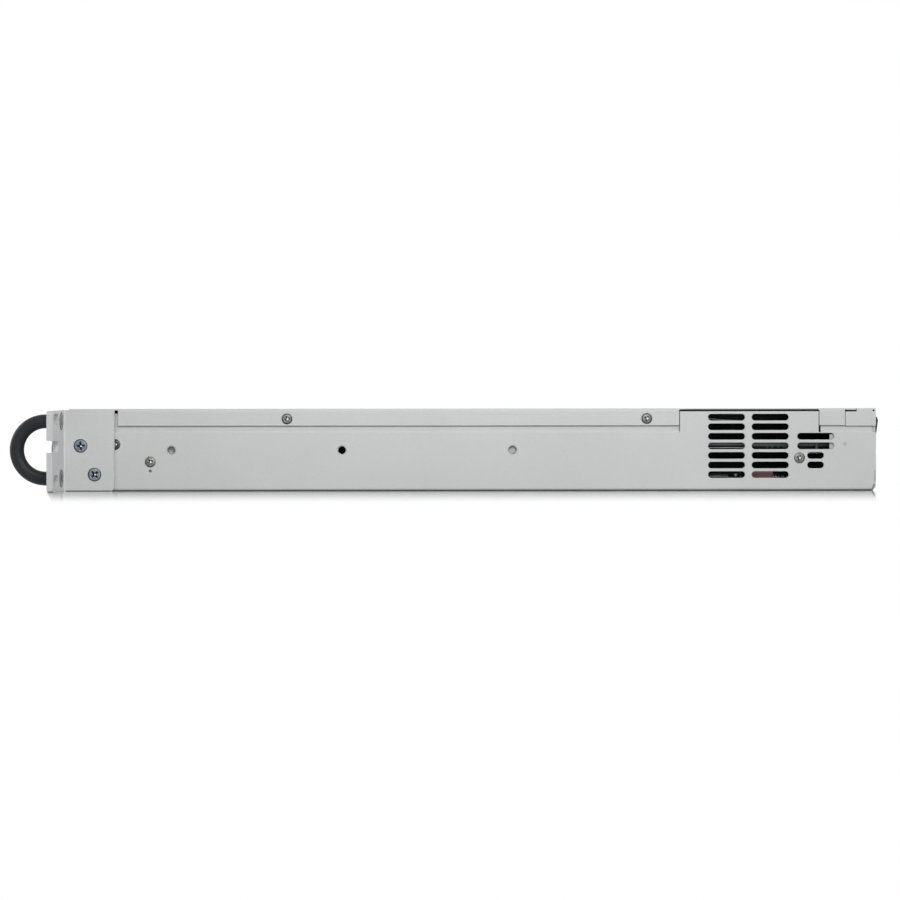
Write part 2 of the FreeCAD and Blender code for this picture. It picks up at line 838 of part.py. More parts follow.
def make_rack_ear():
    body = new_body("rack_ear_right")
    outer = half_width + S.ear_thickness
    plate_end = behind_ear(S.ear_plate_length)
    add(body, "XZ", ear_face, panel_face, path([
        (half_width, 0), (rack_half, 0), (rack_half, ear_height), (outer, ear_plate_height),
        (half_width, ear_plate_height),
    ]))
    add(body, "YZ", half_width, outer, box(panel_face, 0, plate_end, ear_plate_height))
    round_edges(body, S.ear_fold, edges_along_z([(outer, panel_face)]))
    round_edges(body, S.ear_corner, edges_along_y([(rack_half, 0), (rack_half, ear_height)]))
    round_edges(body, S.ear_corner, edges_along_x([(plate_end, 0)]))
    slot_out = rack_half - S.rack_slot_inset + S.rack_slot_length / 2
    slot_in = slot_out - S.rack_slot_length
    cut(body, "XZ", ear_face - PAST, panel_face + PAST,
        slot(rack_half - S.notch_depth, rack_half + S.notch_height, middle_up + S.notch_rise, S.notch_height),
        *[slot(slot_in, slot_out, up, S.rack_slot_height) for up in ear_hole_rises()],
        *[disc(handle_across, up, S.handle_shank_radius + S.head_gap) for up in handle_rises()])
    cut(body, "XZ", panel_face - S.handle_head_height, panel_face,
        *[disc(handle_across, up, S.handle_head_radius + S.head_gap) for up in handle_rises()])
    places = side_hole_places()["ear"]
    cut(body, "YZ", half_width - PAST, outer + PAST, *side_discs(places, S.ear_shank_radius + S.head_gap))
    cut(body, "YZ", outer - S.ear_head_height, outer, *side_discs(places, S.ear_head_radius + S.head_gap))
    return body


def make_handle():
    body = new_body("handle_right")
    low, high = handle_rises()
    bend = ear_face - S.handle_leg
    spine = new_sketch(body, "YZ", handle_across)
    spine.addGeometry(Part.LineSegment(spot(ear_face, high), spot(bend, high)))
    middle = Part.Circle(spot(bend, middle_up), FreeCAD.Vector(0, 0, 1), S.handle_bend_radius.value)
    spine.addGeometry(Part.ArcOfCircle(middle, math.pi / 2, 3 * math.pi / 2))
    spine.addGeometry(Part.LineSegment(spot(bend, low), spot(ear_face, low)))
    spine.addConstraint(Sketcher.Constraint("Coincident", 0, 2, 1, 1))
    spine.addConstraint(Sketcher.Constraint("Coincident", 1, 2, 2, 1))
    pin_point(spine, 0, 1, ear_face, high)
    pin_point(spine, 0, 2, bend, high)
    pin_point(spine, 2, 1, bend, low)
    pin_point(spine, 2, 2, ear_face, low)
    place = spine.addConstraint(Sketcher.Constraint("DistanceX", -1, 1, 1, 3, bend.value))
    bind(spine, f"Constraints[{place}]", bend)
    section = new_sketch(body, "XZ", ear_face)
    disc(handle_across, high, S.handle_bar_radius)(section)
    pipe = body.newObject("PartDesign::AdditivePipe", "Bar")
    pipe.Profile = section
    pipe.Spine = spine
    body.Tip = pipe
    hole_depth = S.handle_screw_length
    cut(body, "XZ", ear_face - hole_depth, ear_face,
        *[disc(handle_across, up, S.handle_shank_radius + S.head_gap) for up in (low, high)])
    return body


# Fasteners
def screw_template(label, head_radius, head_height, shank_radius, length):
    """A screw along X: its head's face at zero, its shank toward negative X, a cross recess in the head."""
    body = template_body(label)
    revolve(body, "XY", [
        (Size(0, "0"), Size(0, "0")), (Size(0, "0"), head_radius), (-head_height, head_radius),
        (-head_height, shank_radius), (-length, shank_radius), (-length, Size(0, "0")),
    ], "H")
    arm = head_radius * 1.15
    width = head_radius * 0.26
    cut(body, "YZ", -head_height * 0.6, Size(0, "0"), box_about(Size(0, "0"), Size(0, "0"), arm, width))
    cut(body, "YZ", -head_height * 0.6, Size(0, "0"), box_about(Size(0, "0"), Size(0, "0"), width, arm))
    return body


def both_sides(places, face):
    found = []
    for back, up in places:
        found.append(placed(face, behind_ear(back), up))
        found.append(placed(-face, behind_ear(back), up, (0, 0, 1), 180))
    return found


def make_screws():
    places = side_hole_places()
    cover_screw = screw_template("cover_screw", S.case_head_radius, S.cover_sheet + S.lap_gap,
                                 S.case_shank_radius, S.case_screw_length)
    wall_screw = screw_template("wall_screw", S.case_head_radius, S.sheet + S.lap_gap,
                                S.case_shank_radius, S.case_screw_length)
    group("case_screws", (cover_screw, both_sides(places["cover"], half_width)),
          (wall_screw, both_sides(places["wall"], half_width)))
    ear_screw = screw_template("ear_screw", S.ear_head_radius, S.ear_head_height,
                               S.ear_shank_radius, S.ear_screw_length)
    group("ear_screws", (ear_screw, both_sides(places["ear"], half_width + S.ear_thickness)))
    handle_screw = screw_template("handle_screw", S.handle_head_radius, S.handle_head_height,
                                  S.handle_shank_radius, S.handle_screw_length)
    spots = [placed(handle_across * side, panel_face, up, (0, 0, 1), 90)
             for side in (1, -1) for up in handle_rises()]
    group("handle_screws", (handle_screw, spots))


def make_slide_nuts():
    """Clinch nuts for the rack slides: the middle one is open, the outer two are capped."""
    zero = Size(0, "0")
    length = S.slide_nut_length
    bore = S.slide_thread_radius
    radius = S.slide_nut_radius
    collar = S.slide_hole_radius - S.running_gap
    open_nut = template_body("open_nut")
    revolve(open_nut, "XY", [
        (-S.sheet * 0.3, bore), (-S.sheet * 0.3, collar), (-S.sheet, collar), (-S.sheet, radius),
        (-S.sheet - length, radius), (-S.sheet - length, bore),
    ], "H")
    capped_nut = template_body("capped_nut")
    revolve(capped_nut, "XY", [
        (-S.sheet * 0.3, bore), (-S.sheet * 0.3, collar), (-S.sheet, collar), (-S.sheet, radius),
        (-S.sheet - length, radius), (-S.sheet - length, zero), (-length, zero), (-length, bore),
    ], "H")
    front, middle, rear = [(S.slide_hole_front + S.slide_hole_pitch * i, S.slide_hole_up) for i in range(3)]
    group("slide_nuts", (capped_nut, both_sides([front, rear], half_width)),
          (open_nut, both_sides([middle], half_width)))


# Fans
def make_fan_frame(number_of_fan, across):
    body = new_body(f"fan_frame_{number_of_fan}")
    zero = Size(0, "0")
    duct = fan_size / 2 - S.fan_duct_wall
    depth = S.fan_depth
    strut_front = depth - S.fan_strut
    hub = S.fan_hub_radius
    add(body, "XZ", zero, depth, box_about(zero, zero, fan_size, fan_size))
    cut(body, "XZ", zero, depth, disc(zero, zero, duct))
    corner = fan_size / 2 - 4
    cut(body, "XZ", zero, depth, *[disc(corner * x, corner * z, 1.7) for x in (1, -1) for z in (1, -1)])
    add(body, "XZ", strut_front, depth, box_about(zero, zero, duct * 2 + 0.8, S.fan_strut))
    add(body, "XZ", strut_front, depth, box_about(zero, zero, S.fan_strut, duct * 2 + 0.8))
    add(body, "XZ", strut_front, depth, disc(zero, zero, hub))
    cut(body, "XZ", strut_front, depth, disc(zero, zero, S.fan_shaft_radius + S.running_gap))
    return place_body(body, across, panel_back, fan_middle)


def make_fan_rotor(number_of_fan, across):
    body = new_body(f"fan_rotor_{number_of_fan}")
    zero = Size(0, "0")
    hub = S.fan_hub_radius
    tip = fan_size / 2 - S.fan_duct_wall - S.fan_blade_gap
    hub_front = S.fan_depth * 0.1
    hub_back = S.fan_depth - S.fan_strut - S.fan_blade_gap
    add(body, "XZ", hub_front, hub_back, disc(zero, zero, hub))
    add(body, "XZ", hub_back, S.fan_depth, disc(zero, zero, S.fan_shaft_radius))
    root_sketch = new_sketch(body, "YZ", hub - 1.5)
    front = hub_front + 0.8
    back = hub_back - 0.8
    path([(front, -3.4), (front + 1.2, -3.4), (back, 3.2), (back - 1.2, 3.2)])(root_sketch)
    tip_sketch = new_sketch(body, "YZ", tip * 0.97)
    path([(front + 2, -6.0), (front + 3, -6.0), (back - 1, 5.4), (back - 2, 5.4)])(tip_sketch)
    blade = body.newObject("PartDesign::AdditiveLoft", "Blade")
    blade.Profile = root_sketch
    blade.Sections = [tip_sketch]
    blade.Ruled = True
    repeat_round(body, blade, "Y", 7)
    return place_body(body, across, panel_back, fan_middle)


# Front controls
def make_power_switch():
    frame = new_body("power_switch_frame")
    zero = Size(0, "0")
    width = S.switch_width
    height = S.switch_height
    body_back = bezel_face + S.switch_depth
    inner_width = S.rocker_width + 0.8
    inner_height = S.rocker_height + 2
    across = switch_across
    add(frame, "XZ", bezel_face - S.switch_lip, bezel_face, box_about(across, middle_up, width, height))
    add(frame, "XZ", bezel_face, body_back, box_about(across, middle_up, width - 2, height - 2))
    cut(frame, "XZ", bezel_face - S.switch_lip, bezel_face + S.switch_depth / 2,
        box_about(across, middle_up, inner_width, inner_height))
    pivot = bezel_face + 1.5
    cut(frame, "YZ", across - inner_width / 2 - 0.9, across + inner_width / 2 + 0.9,
        disc(pivot, middle_up, S.rocker_pin_radius + S.running_gap))
    terminal_low = middle_up - height / 4
    for up in (terminal_low, middle_up + height / 4):
        add(frame, "XZ", body_back, body_back + 7, box_about(across, up, 5, 0.8))

    rocker = new_body("power_rocker")
    side = S.rocker_width / 2
    tall = S.rocker_height / 2
    add(rocker, "YZ", -side, side, path([
        (zero - 4.4, -tall), (zero - 3.1, -tall / 2), (zero - 2.6, zero), (zero - 3.1, tall / 2), (zero - 4.4, tall),
        (zero - 1.5, tall), (zero + 2.5, tall / 3), (zero + 2.5, -tall / 3), (zero - 1.5, -tall),
    ]))
    add(rocker, "YZ", -side - 1.0, side + 1.0, disc(zero, zero, S.rocker_pin_radius))
    place_body(rocker, across, pivot, middle_up)
    rocker.Placement.Rotation = FreeCAD.Rotation(FreeCAD.Vector(1, 0, 0), 0)
    bind(rocker, "Placement.Rotation.Angle", S.rocker_tilt)


def make_control(name, across):
    zero = Size(0, "0")
    encoder = new_body(f"{name}_encoder")
    board_face = panel_back
    body_face = board_face - S.encoder_depth
    add(encoder, "XZ", body_face, board_face, box_about(across, middle_up, S.encoder_size, S.encoder_size))
    add(encoder, "XZ", bezel_face, body_face, disc(across, middle_up, S.bush_radius))
    cut(encoder, "XZ", bezel_face - PAST, board_face - 1.0,
        disc(across, middle_up, S.shaft_radius + S.running_gap))

    shaft = new_body(f"{name}_shaft")
    knob_back = bezel_face - S.knob_gap
    shaft_front = knob_back - S.knob_length * 0.75
    add(shaft, "XZ", shaft_front, board_face - 1.4, disc(across, middle_up, S.shaft_radius))

    knob = new_body(f"{name}_knob")
    length = S.knob_length
    radius = S.knob_radius
    revolve(knob, "XY", [
        (zero, zero), (radius, zero), (radius, -length * 0.86), (radius * 0.86, -length), (zero, -length),
    ], "V")
    flute = cut(knob, "XZ", -length - PAST, -length * 0.12, disc(radius + S.knob_flute * 0.35, zero, S.knob_flute))
    repeat_round(knob, flute, "Y", 20)
    cut(knob, "XZ", -length * 0.75, zero, disc(zero, zero, S.shaft_radius))
    place_body(knob, across, knob_back, middle_up)


def make_display():
    window = new_body("display_window")
    middle = window_left + window_width / 2
    add(window, "XZ", bezel_face + 0.2, bezel_face + S.window_thickness,
        box_about(middle, middle_up, window_width - S.fit_gap * 2, S.window_height - S.fit_gap * 2))
    offset = display_width / 2 + 3
    for name, across in (("voltage", middle - offset), ("current", middle + offset)):
        module = new_body(f"{name}_display")
        add(module, "XZ", panel_back - S.display_depth, panel_back,
            box_about(across, middle_up, display_width, S.display_height))


def make_front_board():
    board = new_body("front_board")
    edge = wall_inside - S.lap_gap
    add(board, "XZ", panel_back, panel_back + S.board,
        box(voltage_across - S.encoder_size - 3, 4, edge - 4, S.chassis_height - 4))
    tact = template_body("tact")
    zero = Size(0, "0")
    add(tact, "XZ", zero - S.tact_height + 1, zero, box_about(zero, zero, S.tact_size, S.tact_size))
    add(tact, "XZ", zero - S.tact_height, zero - S.tact_height + 1, disc(zero, zero, 1.7))
    group("tact_switches", (tact, [placed(across, panel_back, up) for across, up in button_places()]))
    lamp = template_body("lamp")
    length = panel_back - bezel_face + 0.2
    add(lamp, "XZ", -length, zero, disc(zero, zero, S.lamp_radius))
    group("indicator_lamps", (lamp, [placed(across, panel_back, up) for across, up in lamp_places()]))


BUTTONS = ("fold", "remote", "output", "fine", "limit", "protect")


def make_buttons():
    zero = Size(0, "0")
    for name, (across, up) in zip(BUTTONS, button_places()):
        body = new_body(f"{name}_button")
        flange_front = S.bezel_wall + S.button_gap
        add(body, "XZ", -S.button_proud, flange_front, box_about(zero, zero, S.button_width, S.button_height))

        def cap_edges(start, end):
            return near(start.y, -S.button_proud) and near(end.y, -S.button_proud)

        round_edges(body, S.button_flange * 0.6, cap_edges)
        add(body, "XZ", flange_front, flange_front + S.button_flange,
            box_about(zero, zero, S.button_width + 2, S.button_height + 2))
        place_body(body, across, bezel_face, up)


# Inside
def make_main_board():
    board = new_body("main_board")
    front = behind_ear(S.board_front)
    back = ahead_of_rear(S.board_back)
    low = S.sheet + S.standoff
    half = board_half
    add(board, "XY", low, board_top, box(-half, front, half, back))
    standoff = template_body("standoff")
    zero = Size(0, "0")
    add(standoff, "XY", zero, S.standoff, disc(zero, zero, S.standoff_radius))
    margin = S.standoff_radius * 2
    middle = (front + back) / 2
    spots = [placed(x, y, S.sheet) for x in (half - margin, zero, margin - half)
             for y in (front + margin, middle, back - margin)]
    group("board_standoffs", (standoff, spots))


def make_heat_sink(label, side, length):
    """An upright plate with a level fin and a rail toward the wall and a tab that the wall screw holds."""
    body = new_body(label)
    front = ahead_of_rear(S.sink_front)
    plate = board_half - S.sink_set_in
    face = plate + S.sink_plate
    fin = wall_inside - S.sink_inset
    tab = wall_inside - S.lap_gap
    thin = S.sink_sheet
    outline = [(plate, board_top), (face, board_top)]
    for up, thick in ((S.sink_fin_low, thin), (S.sink_fin_high, S.sink_rail)):
        outline += [(face, up), (fin, up), (fin, up + thick), (face, up + thick)]
    outline += [(face, S.chassis_height - 8), (plate, S.chassis_height - 8)]
    add(body, "XZ", front, front + length, path([(x * side, z) for x, z in outline]))
    screw_back = ahead_of_rear(S.wall_screw_rear)
    bent = [
        (fin - 1, S.sink_fin_low), (tab - thin, S.sink_fin_low), (tab - thin, S.wall_screw_rear_up - 4),
        (tab, S.wall_screw_rear_up - 4), (tab, S.sink_fin_low + thin), (fin - 1, S.sink_fin_low + thin),
    ]
    add(body, "XZ", screw_back - 3.6, screw_back + 3.6, path([(x * side, z) for x, z in bent]))
    low, high = (tab - thin, tab) if side > 0 else (-tab, thin - tab)
    cut(body, "YZ", low - PAST, high + PAST,
        disc(screw_back, S.wall_screw_rear_up, S.case_shank_radius + S.head_gap))
    return body


def make_inside():
    zero = Size(0, "0")
    front = behind_ear(S.board_front)
    back = ahead_of_rear(S.board_back)
    transformer = new_body("main_transformer")
    across = S.core_size / 3
    middle = (front + back) / 2
    size = S.core_size
    former = size - 4
    add(transformer, "XY", board_top, board_top + 4,
        box(across - size / 2, middle - size / 2, across + size / 2, middle + size / 2))
    add(transformer, "XY", board_top + 4, board_top + S.core_height,
        box(across - former / 2, middle - former / 2, across + former / 2, middle + former / 2))
    wound = size / 2 + S.winding_proud
    add(transformer, "XY", board_top + 7, board_top + S.core_height - 3,
        box(across - wound, middle - size * 0.3, across + wound, middle + size * 0.3))
    choke = new_body("output_choke")
    bore = S.choke_bore
    radius = S.choke_radius
    revolve(choke, "XZ", [(bore, zero), (radius, zero), (radius, S.choke_height), (bore, S.choke_height)], "V")
    place_body(choke, bar_positive + S.choke_gap, back - S.choke_radius * 3, board_top)
    capacitor = template_body("capacitor")
    shoulder = S.can_height - 1
    revolve(capacitor, "XZ", [
        (zero, zero), (S.can_radius, zero), (S.can_radius, shoulder), (S.can_radius - 1, S.can_height),
        (zero, S.can_height),
    ], "V")
    group("bulk_capacitors", (capacitor, [
        placed(S.can_inset - half_width + S.can_pitch * i, front + S.core_size, board_top) for i in range(4)]))
    film = new_body("film_capacitor")
    start = ahead_of_rear(S.film_front)
    inner = board_half - 5
    outer = board_half + 3.5
    edge = board_half + S.fit_gap
    high = board_top + S.film_height
    add(film, "XZ", start, start + S.film_length, path([
        (inner, board_top), (edge, board_top), (edge, S.sheet + S.standoff / 2), (outer, S.sheet + S.standoff / 2),
        (outer, high), (inner, high),
    ]))


# Rear
def make_rear_connectors():
    zero = Size(0, "0")
    plate_front = rear_face - S.sheet
    sense = new_body("sense_plug")
    low = sense_low
    high = low + S.sense_height
    face = rear_face + S.sense_proud
    add(sense, "YZ", sense_right, sense_right + S.sense_width, path([
        (plate_front - 6, low), (face - 1.2, low), (face, high - 2), (face - 0.6, high), (plate_front - 6, high),
    ]))
    entries = S.sense_width / 5
    entry = cut(sense, "XZ", face - 4, face + PAST,
                disc(sense_right + entries / 2, low + S.sense_height * 0.4, 1.25))
    repeat(sense, entry, "X", entries, 5)
    heads = cut(sense, "XY", high - 0.8, high, disc(sense_right + entries / 2, face - 3.2, 1.2))
    repeat(sense, heads, "X", entries, 5)

    analog = new_body("analog_connector")
    across = analog_middle
    up = analog_up
    add(analog, "XZ", rear_face, rear_face + 1, box_about(across, up, zero + 53, zero + 12.5))
    add(analog, "XZ", rear_face - 9, rear_face, box_about(across, up, zero + 40, zero + 9.5))
    add(analog, "XZ", rear_face + 1, rear_face + 6, path([
        (across - 19.2, up + 4.1), (across - 17.8, up - 4.1), (across + 17.8, up - 4.1), (across + 19.2, up + 4.1),
    ]))
    for row, count, start in ((1.4, 13, -16.56), (-1.4, 12, -15.18)):
        pin = cut(analog, "XZ", rear_face + 3, rear_face + 6, disc(across + start, up + row, 0.55))
        repeat(analog, pin, "X", zero + 2.76, count)
    for sign in (1, -1):
        add(analog, "XZ", rear_face + 1, rear_face + 6, disc(across + 23.5 * sign, up, 2.5))
        cut(analog, "XZ", rear_face + 2, rear_face + 6, disc(across + 23.5 * sign, up, 1.4))

    usb = new_body("usb_socket")
    add(usb, "XZ", rear_face - 14, rear_face + 0.8, box_about(usb_middle, S.jack_up, zero + 12, zero + 11))
    cut(usb, "XZ", rear_face - 9, rear_face + 0.8, path([
        (usb_middle - 4.25, S.jack_up - 3.9), (usb_middle + 4.25, S.jack_up - 3.9),
        (usb_middle + 4.25, S.jack_up + 2.3), (usb_middle + 2.7, S.jack_up + 3.9),
        (usb_middle - 2.7, S.jack_up + 3.9), (usb_middle - 4.25, S.jack_up + 2.3),
    ]))
    add(usb, "XZ", rear_face - 9, rear_face - 4.2, box_about(usb_middle, S.jack_up, zero + 5.6, zero + 3.2))

    lan = new_body("lan_jack")
    add(lan, "XZ", rear_face - 16, rear_face + 0.8, box_about(lan_middle, S.jack_up, zero + 16, zero + 14))
    cut(lan, "XZ", rear_face - 12, rear_face + 0.8, path([
        (lan_middle - 5.9, S.jack_up - 3.4), (lan_middle - 3.2, S.jack_up - 3.4),
        (lan_middle - 3.2, S.jack_up - 5.2), (lan_middle + 3.2, S.jack_up - 5.2),
        (lan_middle + 3.2, S.jack_up - 3.4), (lan_middle + 5.9, S.jack_up - 3.4),
        (lan_middle + 5.9, S.jack_up + 4.6), (lan_middle - 5.9, S.jack_up + 4.6),
    ]))


def make_output_bars():
    plate_front = rear_face - S.sheet
    for name, across in (("positive", bar_positive), ("negative", bar_negative)):
        bar = new_body(f"output_bar_{name}")
        add(bar, "YZ", across - S.bar_thickness / 2, across + S.bar_thickness / 2,
            box(plate_front - 24, middle_up - S.bar_height / 2,
                rear_face + S.bar_proud, middle_up + S.bar_height / 2))
        hole_back = rear_face + S.bar_proud - 10
        cut(bar, "YZ", across - S.bar_thickness, across + S.bar_thickness,
            disc(hole_back, middle_up - S.bar_hole_rise / 2, S.bar_hole_radius),
            disc(hole_back, middle_up + S.bar_hole_rise / 2, S.bar_hole_radius))

        def outer_corners(start, end):
            return near(start.y, rear_face + S.bar_proud) and near(end.y, rear_face + S.bar_proud) \
                and abs(start.x - end.x) > 1e-4

        round_edges(bar, S.bar_thickness * 0.5, outer_corners)
    insulator = new_body("bar_insulator")
    middle = (bar_positive + bar_negative) / 2
    span = bar_positive - bar_negative
    add(insulator, "XZ", rear_face, rear_face + S.insulator_depth,
        box_about(middle, middle_up, span + S.bar_thickness + 12, S.bar_height + 8))
    cut(insulator, "XZ", rear_face, rear_face + S.insulator_depth,
        *[box_about(across, middle_up, S.bar_thickness + S.fit_gap, S.bar_height + S.fit_gap)
          for across in (bar_positive, bar_negative)])


def make_ground_stud():
    body = new_body("ground_stud")
    zero = Size(0, "0")
    revolve(body, "XY", [
        (zero, zero - 4), (zero + 5, zero - 4), (zero + 5, zero - 1.2), (zero + 2.5, zero - 1.2), (zero + 2.5, zero),
        (zero + 5, zero), (zero + 5, zero + 1), (zero + 2.5, zero + 1), (zero + 2.5, zero + 14), (zero, zero + 14),
    ], "V")
    points = [(4.4 * math.cos(math.pi / 3 * i), 4.4 * math.sin(math.pi / 3 * i)) for i in range(6)]
    add(body, "XZ", zero + 1, zero + 5, path([(zero + x, zero + z) for x, z in points]))
    place_body(body, ground_across, rear_face, S.ground_up)


def make_mains_inlet():
    zero = Size(0, "0")
    across = inlet_across
    up = middle_up
    inlet = new_body("ac_inlet")
    mouth = rear_face + S.inlet_lip
    floor = rear_face - S.inlet_depth + 3
    add(inlet, "XZ", rear_face, mouth, box_about(across, up, S.inlet_width + 4, S.inlet_height + 4))
    add(inlet, "XZ", rear_face - S.inlet_depth, rear_face, box_about(across, up, S.inlet_width, S.inlet_height))
    half = S.inlet_width / 2 - 1.4
    tall = S.inlet_height / 2 - 1.8
    cut(inlet, "XZ", floor, mouth, path([
        (across - half, up - tall), (across + half, up - tall), (across + half, up + tall - 4),
        (across + half - 4, up + tall), (across - half + 4, up + tall), (across - half, up + tall - 4),
    ]))
    pins = [(7, -1.5), (-7, -1.5), (0, 2.5)]
    cut(inlet, "XZ", rear_face - S.inlet_depth - PAST, floor + PAST,
        *[box_about(across + x, up + z, zero + 2.1, zero + 4.1) for x, z in pins])
    pin = template_body("inlet_pin")
    length = S.inlet_depth + S.inlet_lip - 4.5 + 5
    add(pin, "XZ", zero, length, box_about(zero, zero, zero + 2, zero + 4))
    back = mouth - 4.5 - length
    group("inlet_pins", (pin, [placed(across + x, back, up + z) for x, z in pins]))


make_base_chassis()
make_top_cover()
make_rear_panel()
make_front_subpanel()
make_front_bezel()
rack_ear_right = make_rack_ear()
rack_ear_left = mirrored_piece("rack_ear_left", rack_ear_right)
handle_right = make_handle()
handle_left = mirrored_piece("handle_left", handle_right)
make_screws()
make_slide_nuts()
for fan in range(4):
    fan_across = fan_first + fan_pitch * fan
    make_fan_frame(fan + 1, fan_across)
    make_fan_rotor(fan + 1, fan_across)
make_power_switch()
make_control("voltage", voltage_across)
make_control("current", current_across)
make_display()
make_front_board()
make_buttons()
make_main_board()
make_heat_sink("output_heatsink", 1, S.sink_length)
make_heat_sink("input_heatsink", -1, S.input_sink_length)
make_inside()
make_rear_connectors()
make_output_bars()
make_ground_stud()
make_mains_inlet()
doc.recompute()

# Check every piece, then write one file for each
groups = [thing for thing in doc.Objects if thing.TypeId in ("Part::Feature", "Part::Mirroring")]
failed = [thing for thing in doc.Objects if "Invalid" in thing.State or "Error" in thing.State]
if failed:
    owners = [", ".join(owner.Label for owner in thing.InList) for thing in failed]
    raise ValueError(f"did not compute: {list(zip([thing.Name for thing in failed], owners))}")
os.makedirs("parts", exist_ok=True)
for piece in bodies + groups:
    if piece.Shape.isNull() or not piece.Shape.isValid():
        raise ValueError(f"{piece.Label} has no valid shape")
    piece.Shape.exportStep(f"parts/{piece.Label}.step")
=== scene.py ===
"""Looks of a rack-mount dc power supply: finishes, small fitted details, light and camera."""
import json
import math

import bmesh
import bpy
from mathutils import Matrix, Vector


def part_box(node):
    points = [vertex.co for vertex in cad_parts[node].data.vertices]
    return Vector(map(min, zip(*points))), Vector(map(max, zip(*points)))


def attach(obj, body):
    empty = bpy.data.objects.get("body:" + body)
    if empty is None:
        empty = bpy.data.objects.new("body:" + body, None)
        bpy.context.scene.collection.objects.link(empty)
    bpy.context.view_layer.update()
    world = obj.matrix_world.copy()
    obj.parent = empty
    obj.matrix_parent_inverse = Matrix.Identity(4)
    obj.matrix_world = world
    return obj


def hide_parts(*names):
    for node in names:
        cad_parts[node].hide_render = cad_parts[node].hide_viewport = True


MM = 0.001
FRONT_RIGHT = (1, 0, 0)
REAR_RIGHT = (-1, 0, 0)
BACK = (0, 1, 0)
UP = (0, 0, 1)
SIDES = (1, -1)

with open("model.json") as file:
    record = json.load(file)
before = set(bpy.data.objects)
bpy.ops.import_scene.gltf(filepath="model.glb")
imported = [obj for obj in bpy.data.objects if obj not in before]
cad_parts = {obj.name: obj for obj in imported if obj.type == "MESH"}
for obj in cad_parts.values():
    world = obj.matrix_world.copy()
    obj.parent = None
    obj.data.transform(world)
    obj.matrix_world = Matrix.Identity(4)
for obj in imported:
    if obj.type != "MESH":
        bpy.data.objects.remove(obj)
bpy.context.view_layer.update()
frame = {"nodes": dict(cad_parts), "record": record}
nodes = frame["nodes"]
joints = {joint["name"]: joint for joint in frame["record"]["behaviour"]["joints"]}


def middle_across(name):
    low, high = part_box(name)
    return (low.x + high.x) / 2


def middle_height(name):
    low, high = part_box(name)
    return (low.z + high.z) / 2


# Planes of the case that the details sit on
EAR_PLATE = 3.0 * MM
FIN_INSET = 13.2 * MM
FIN_SHADE_STRIP = 0.3 * MM
side_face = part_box("base_chassis")[1].x
plate_face = side_face + EAR_PLATE
fin_face = side_face - FIN_INSET
ear_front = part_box("rack_ear_right")[0].y
ear_back = ear_front + EAR_PLATE
ear_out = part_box("rack_ear_right")[1].x
bezel_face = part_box("front_bezel")[0].y
rear_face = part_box("rear_panel")[1].y
board_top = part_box("main_board")[1].z
board_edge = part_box("main_board")[1].x
case_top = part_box("top_cover")[1].z
middle_up = middle_height("display_window")


def srgb(red, green, blue):
    """A picture colour, 0 to 255, as the linear colour that a shader takes."""
    def linear(level):
        level /= 255
        return level / 12.92 if level <= 0.04045 else ((level + 0.055) / 1.055) ** 2.4
    return (linear(red), linear(green), linear(blue), 1.0)


def scaled(colour, factor):
    return tuple(min(1.0, part * factor) for part in colour[:3]) + (1.0,)


# Finishes: a colour mix's sockets for factor and colours and for the result, and a ramp's usual ends
MIX_INPUTS = (0, 6, 7)
MIX_RESULT = 2
RAMP_LOW = 0.3
RAMP_HIGH = 0.7


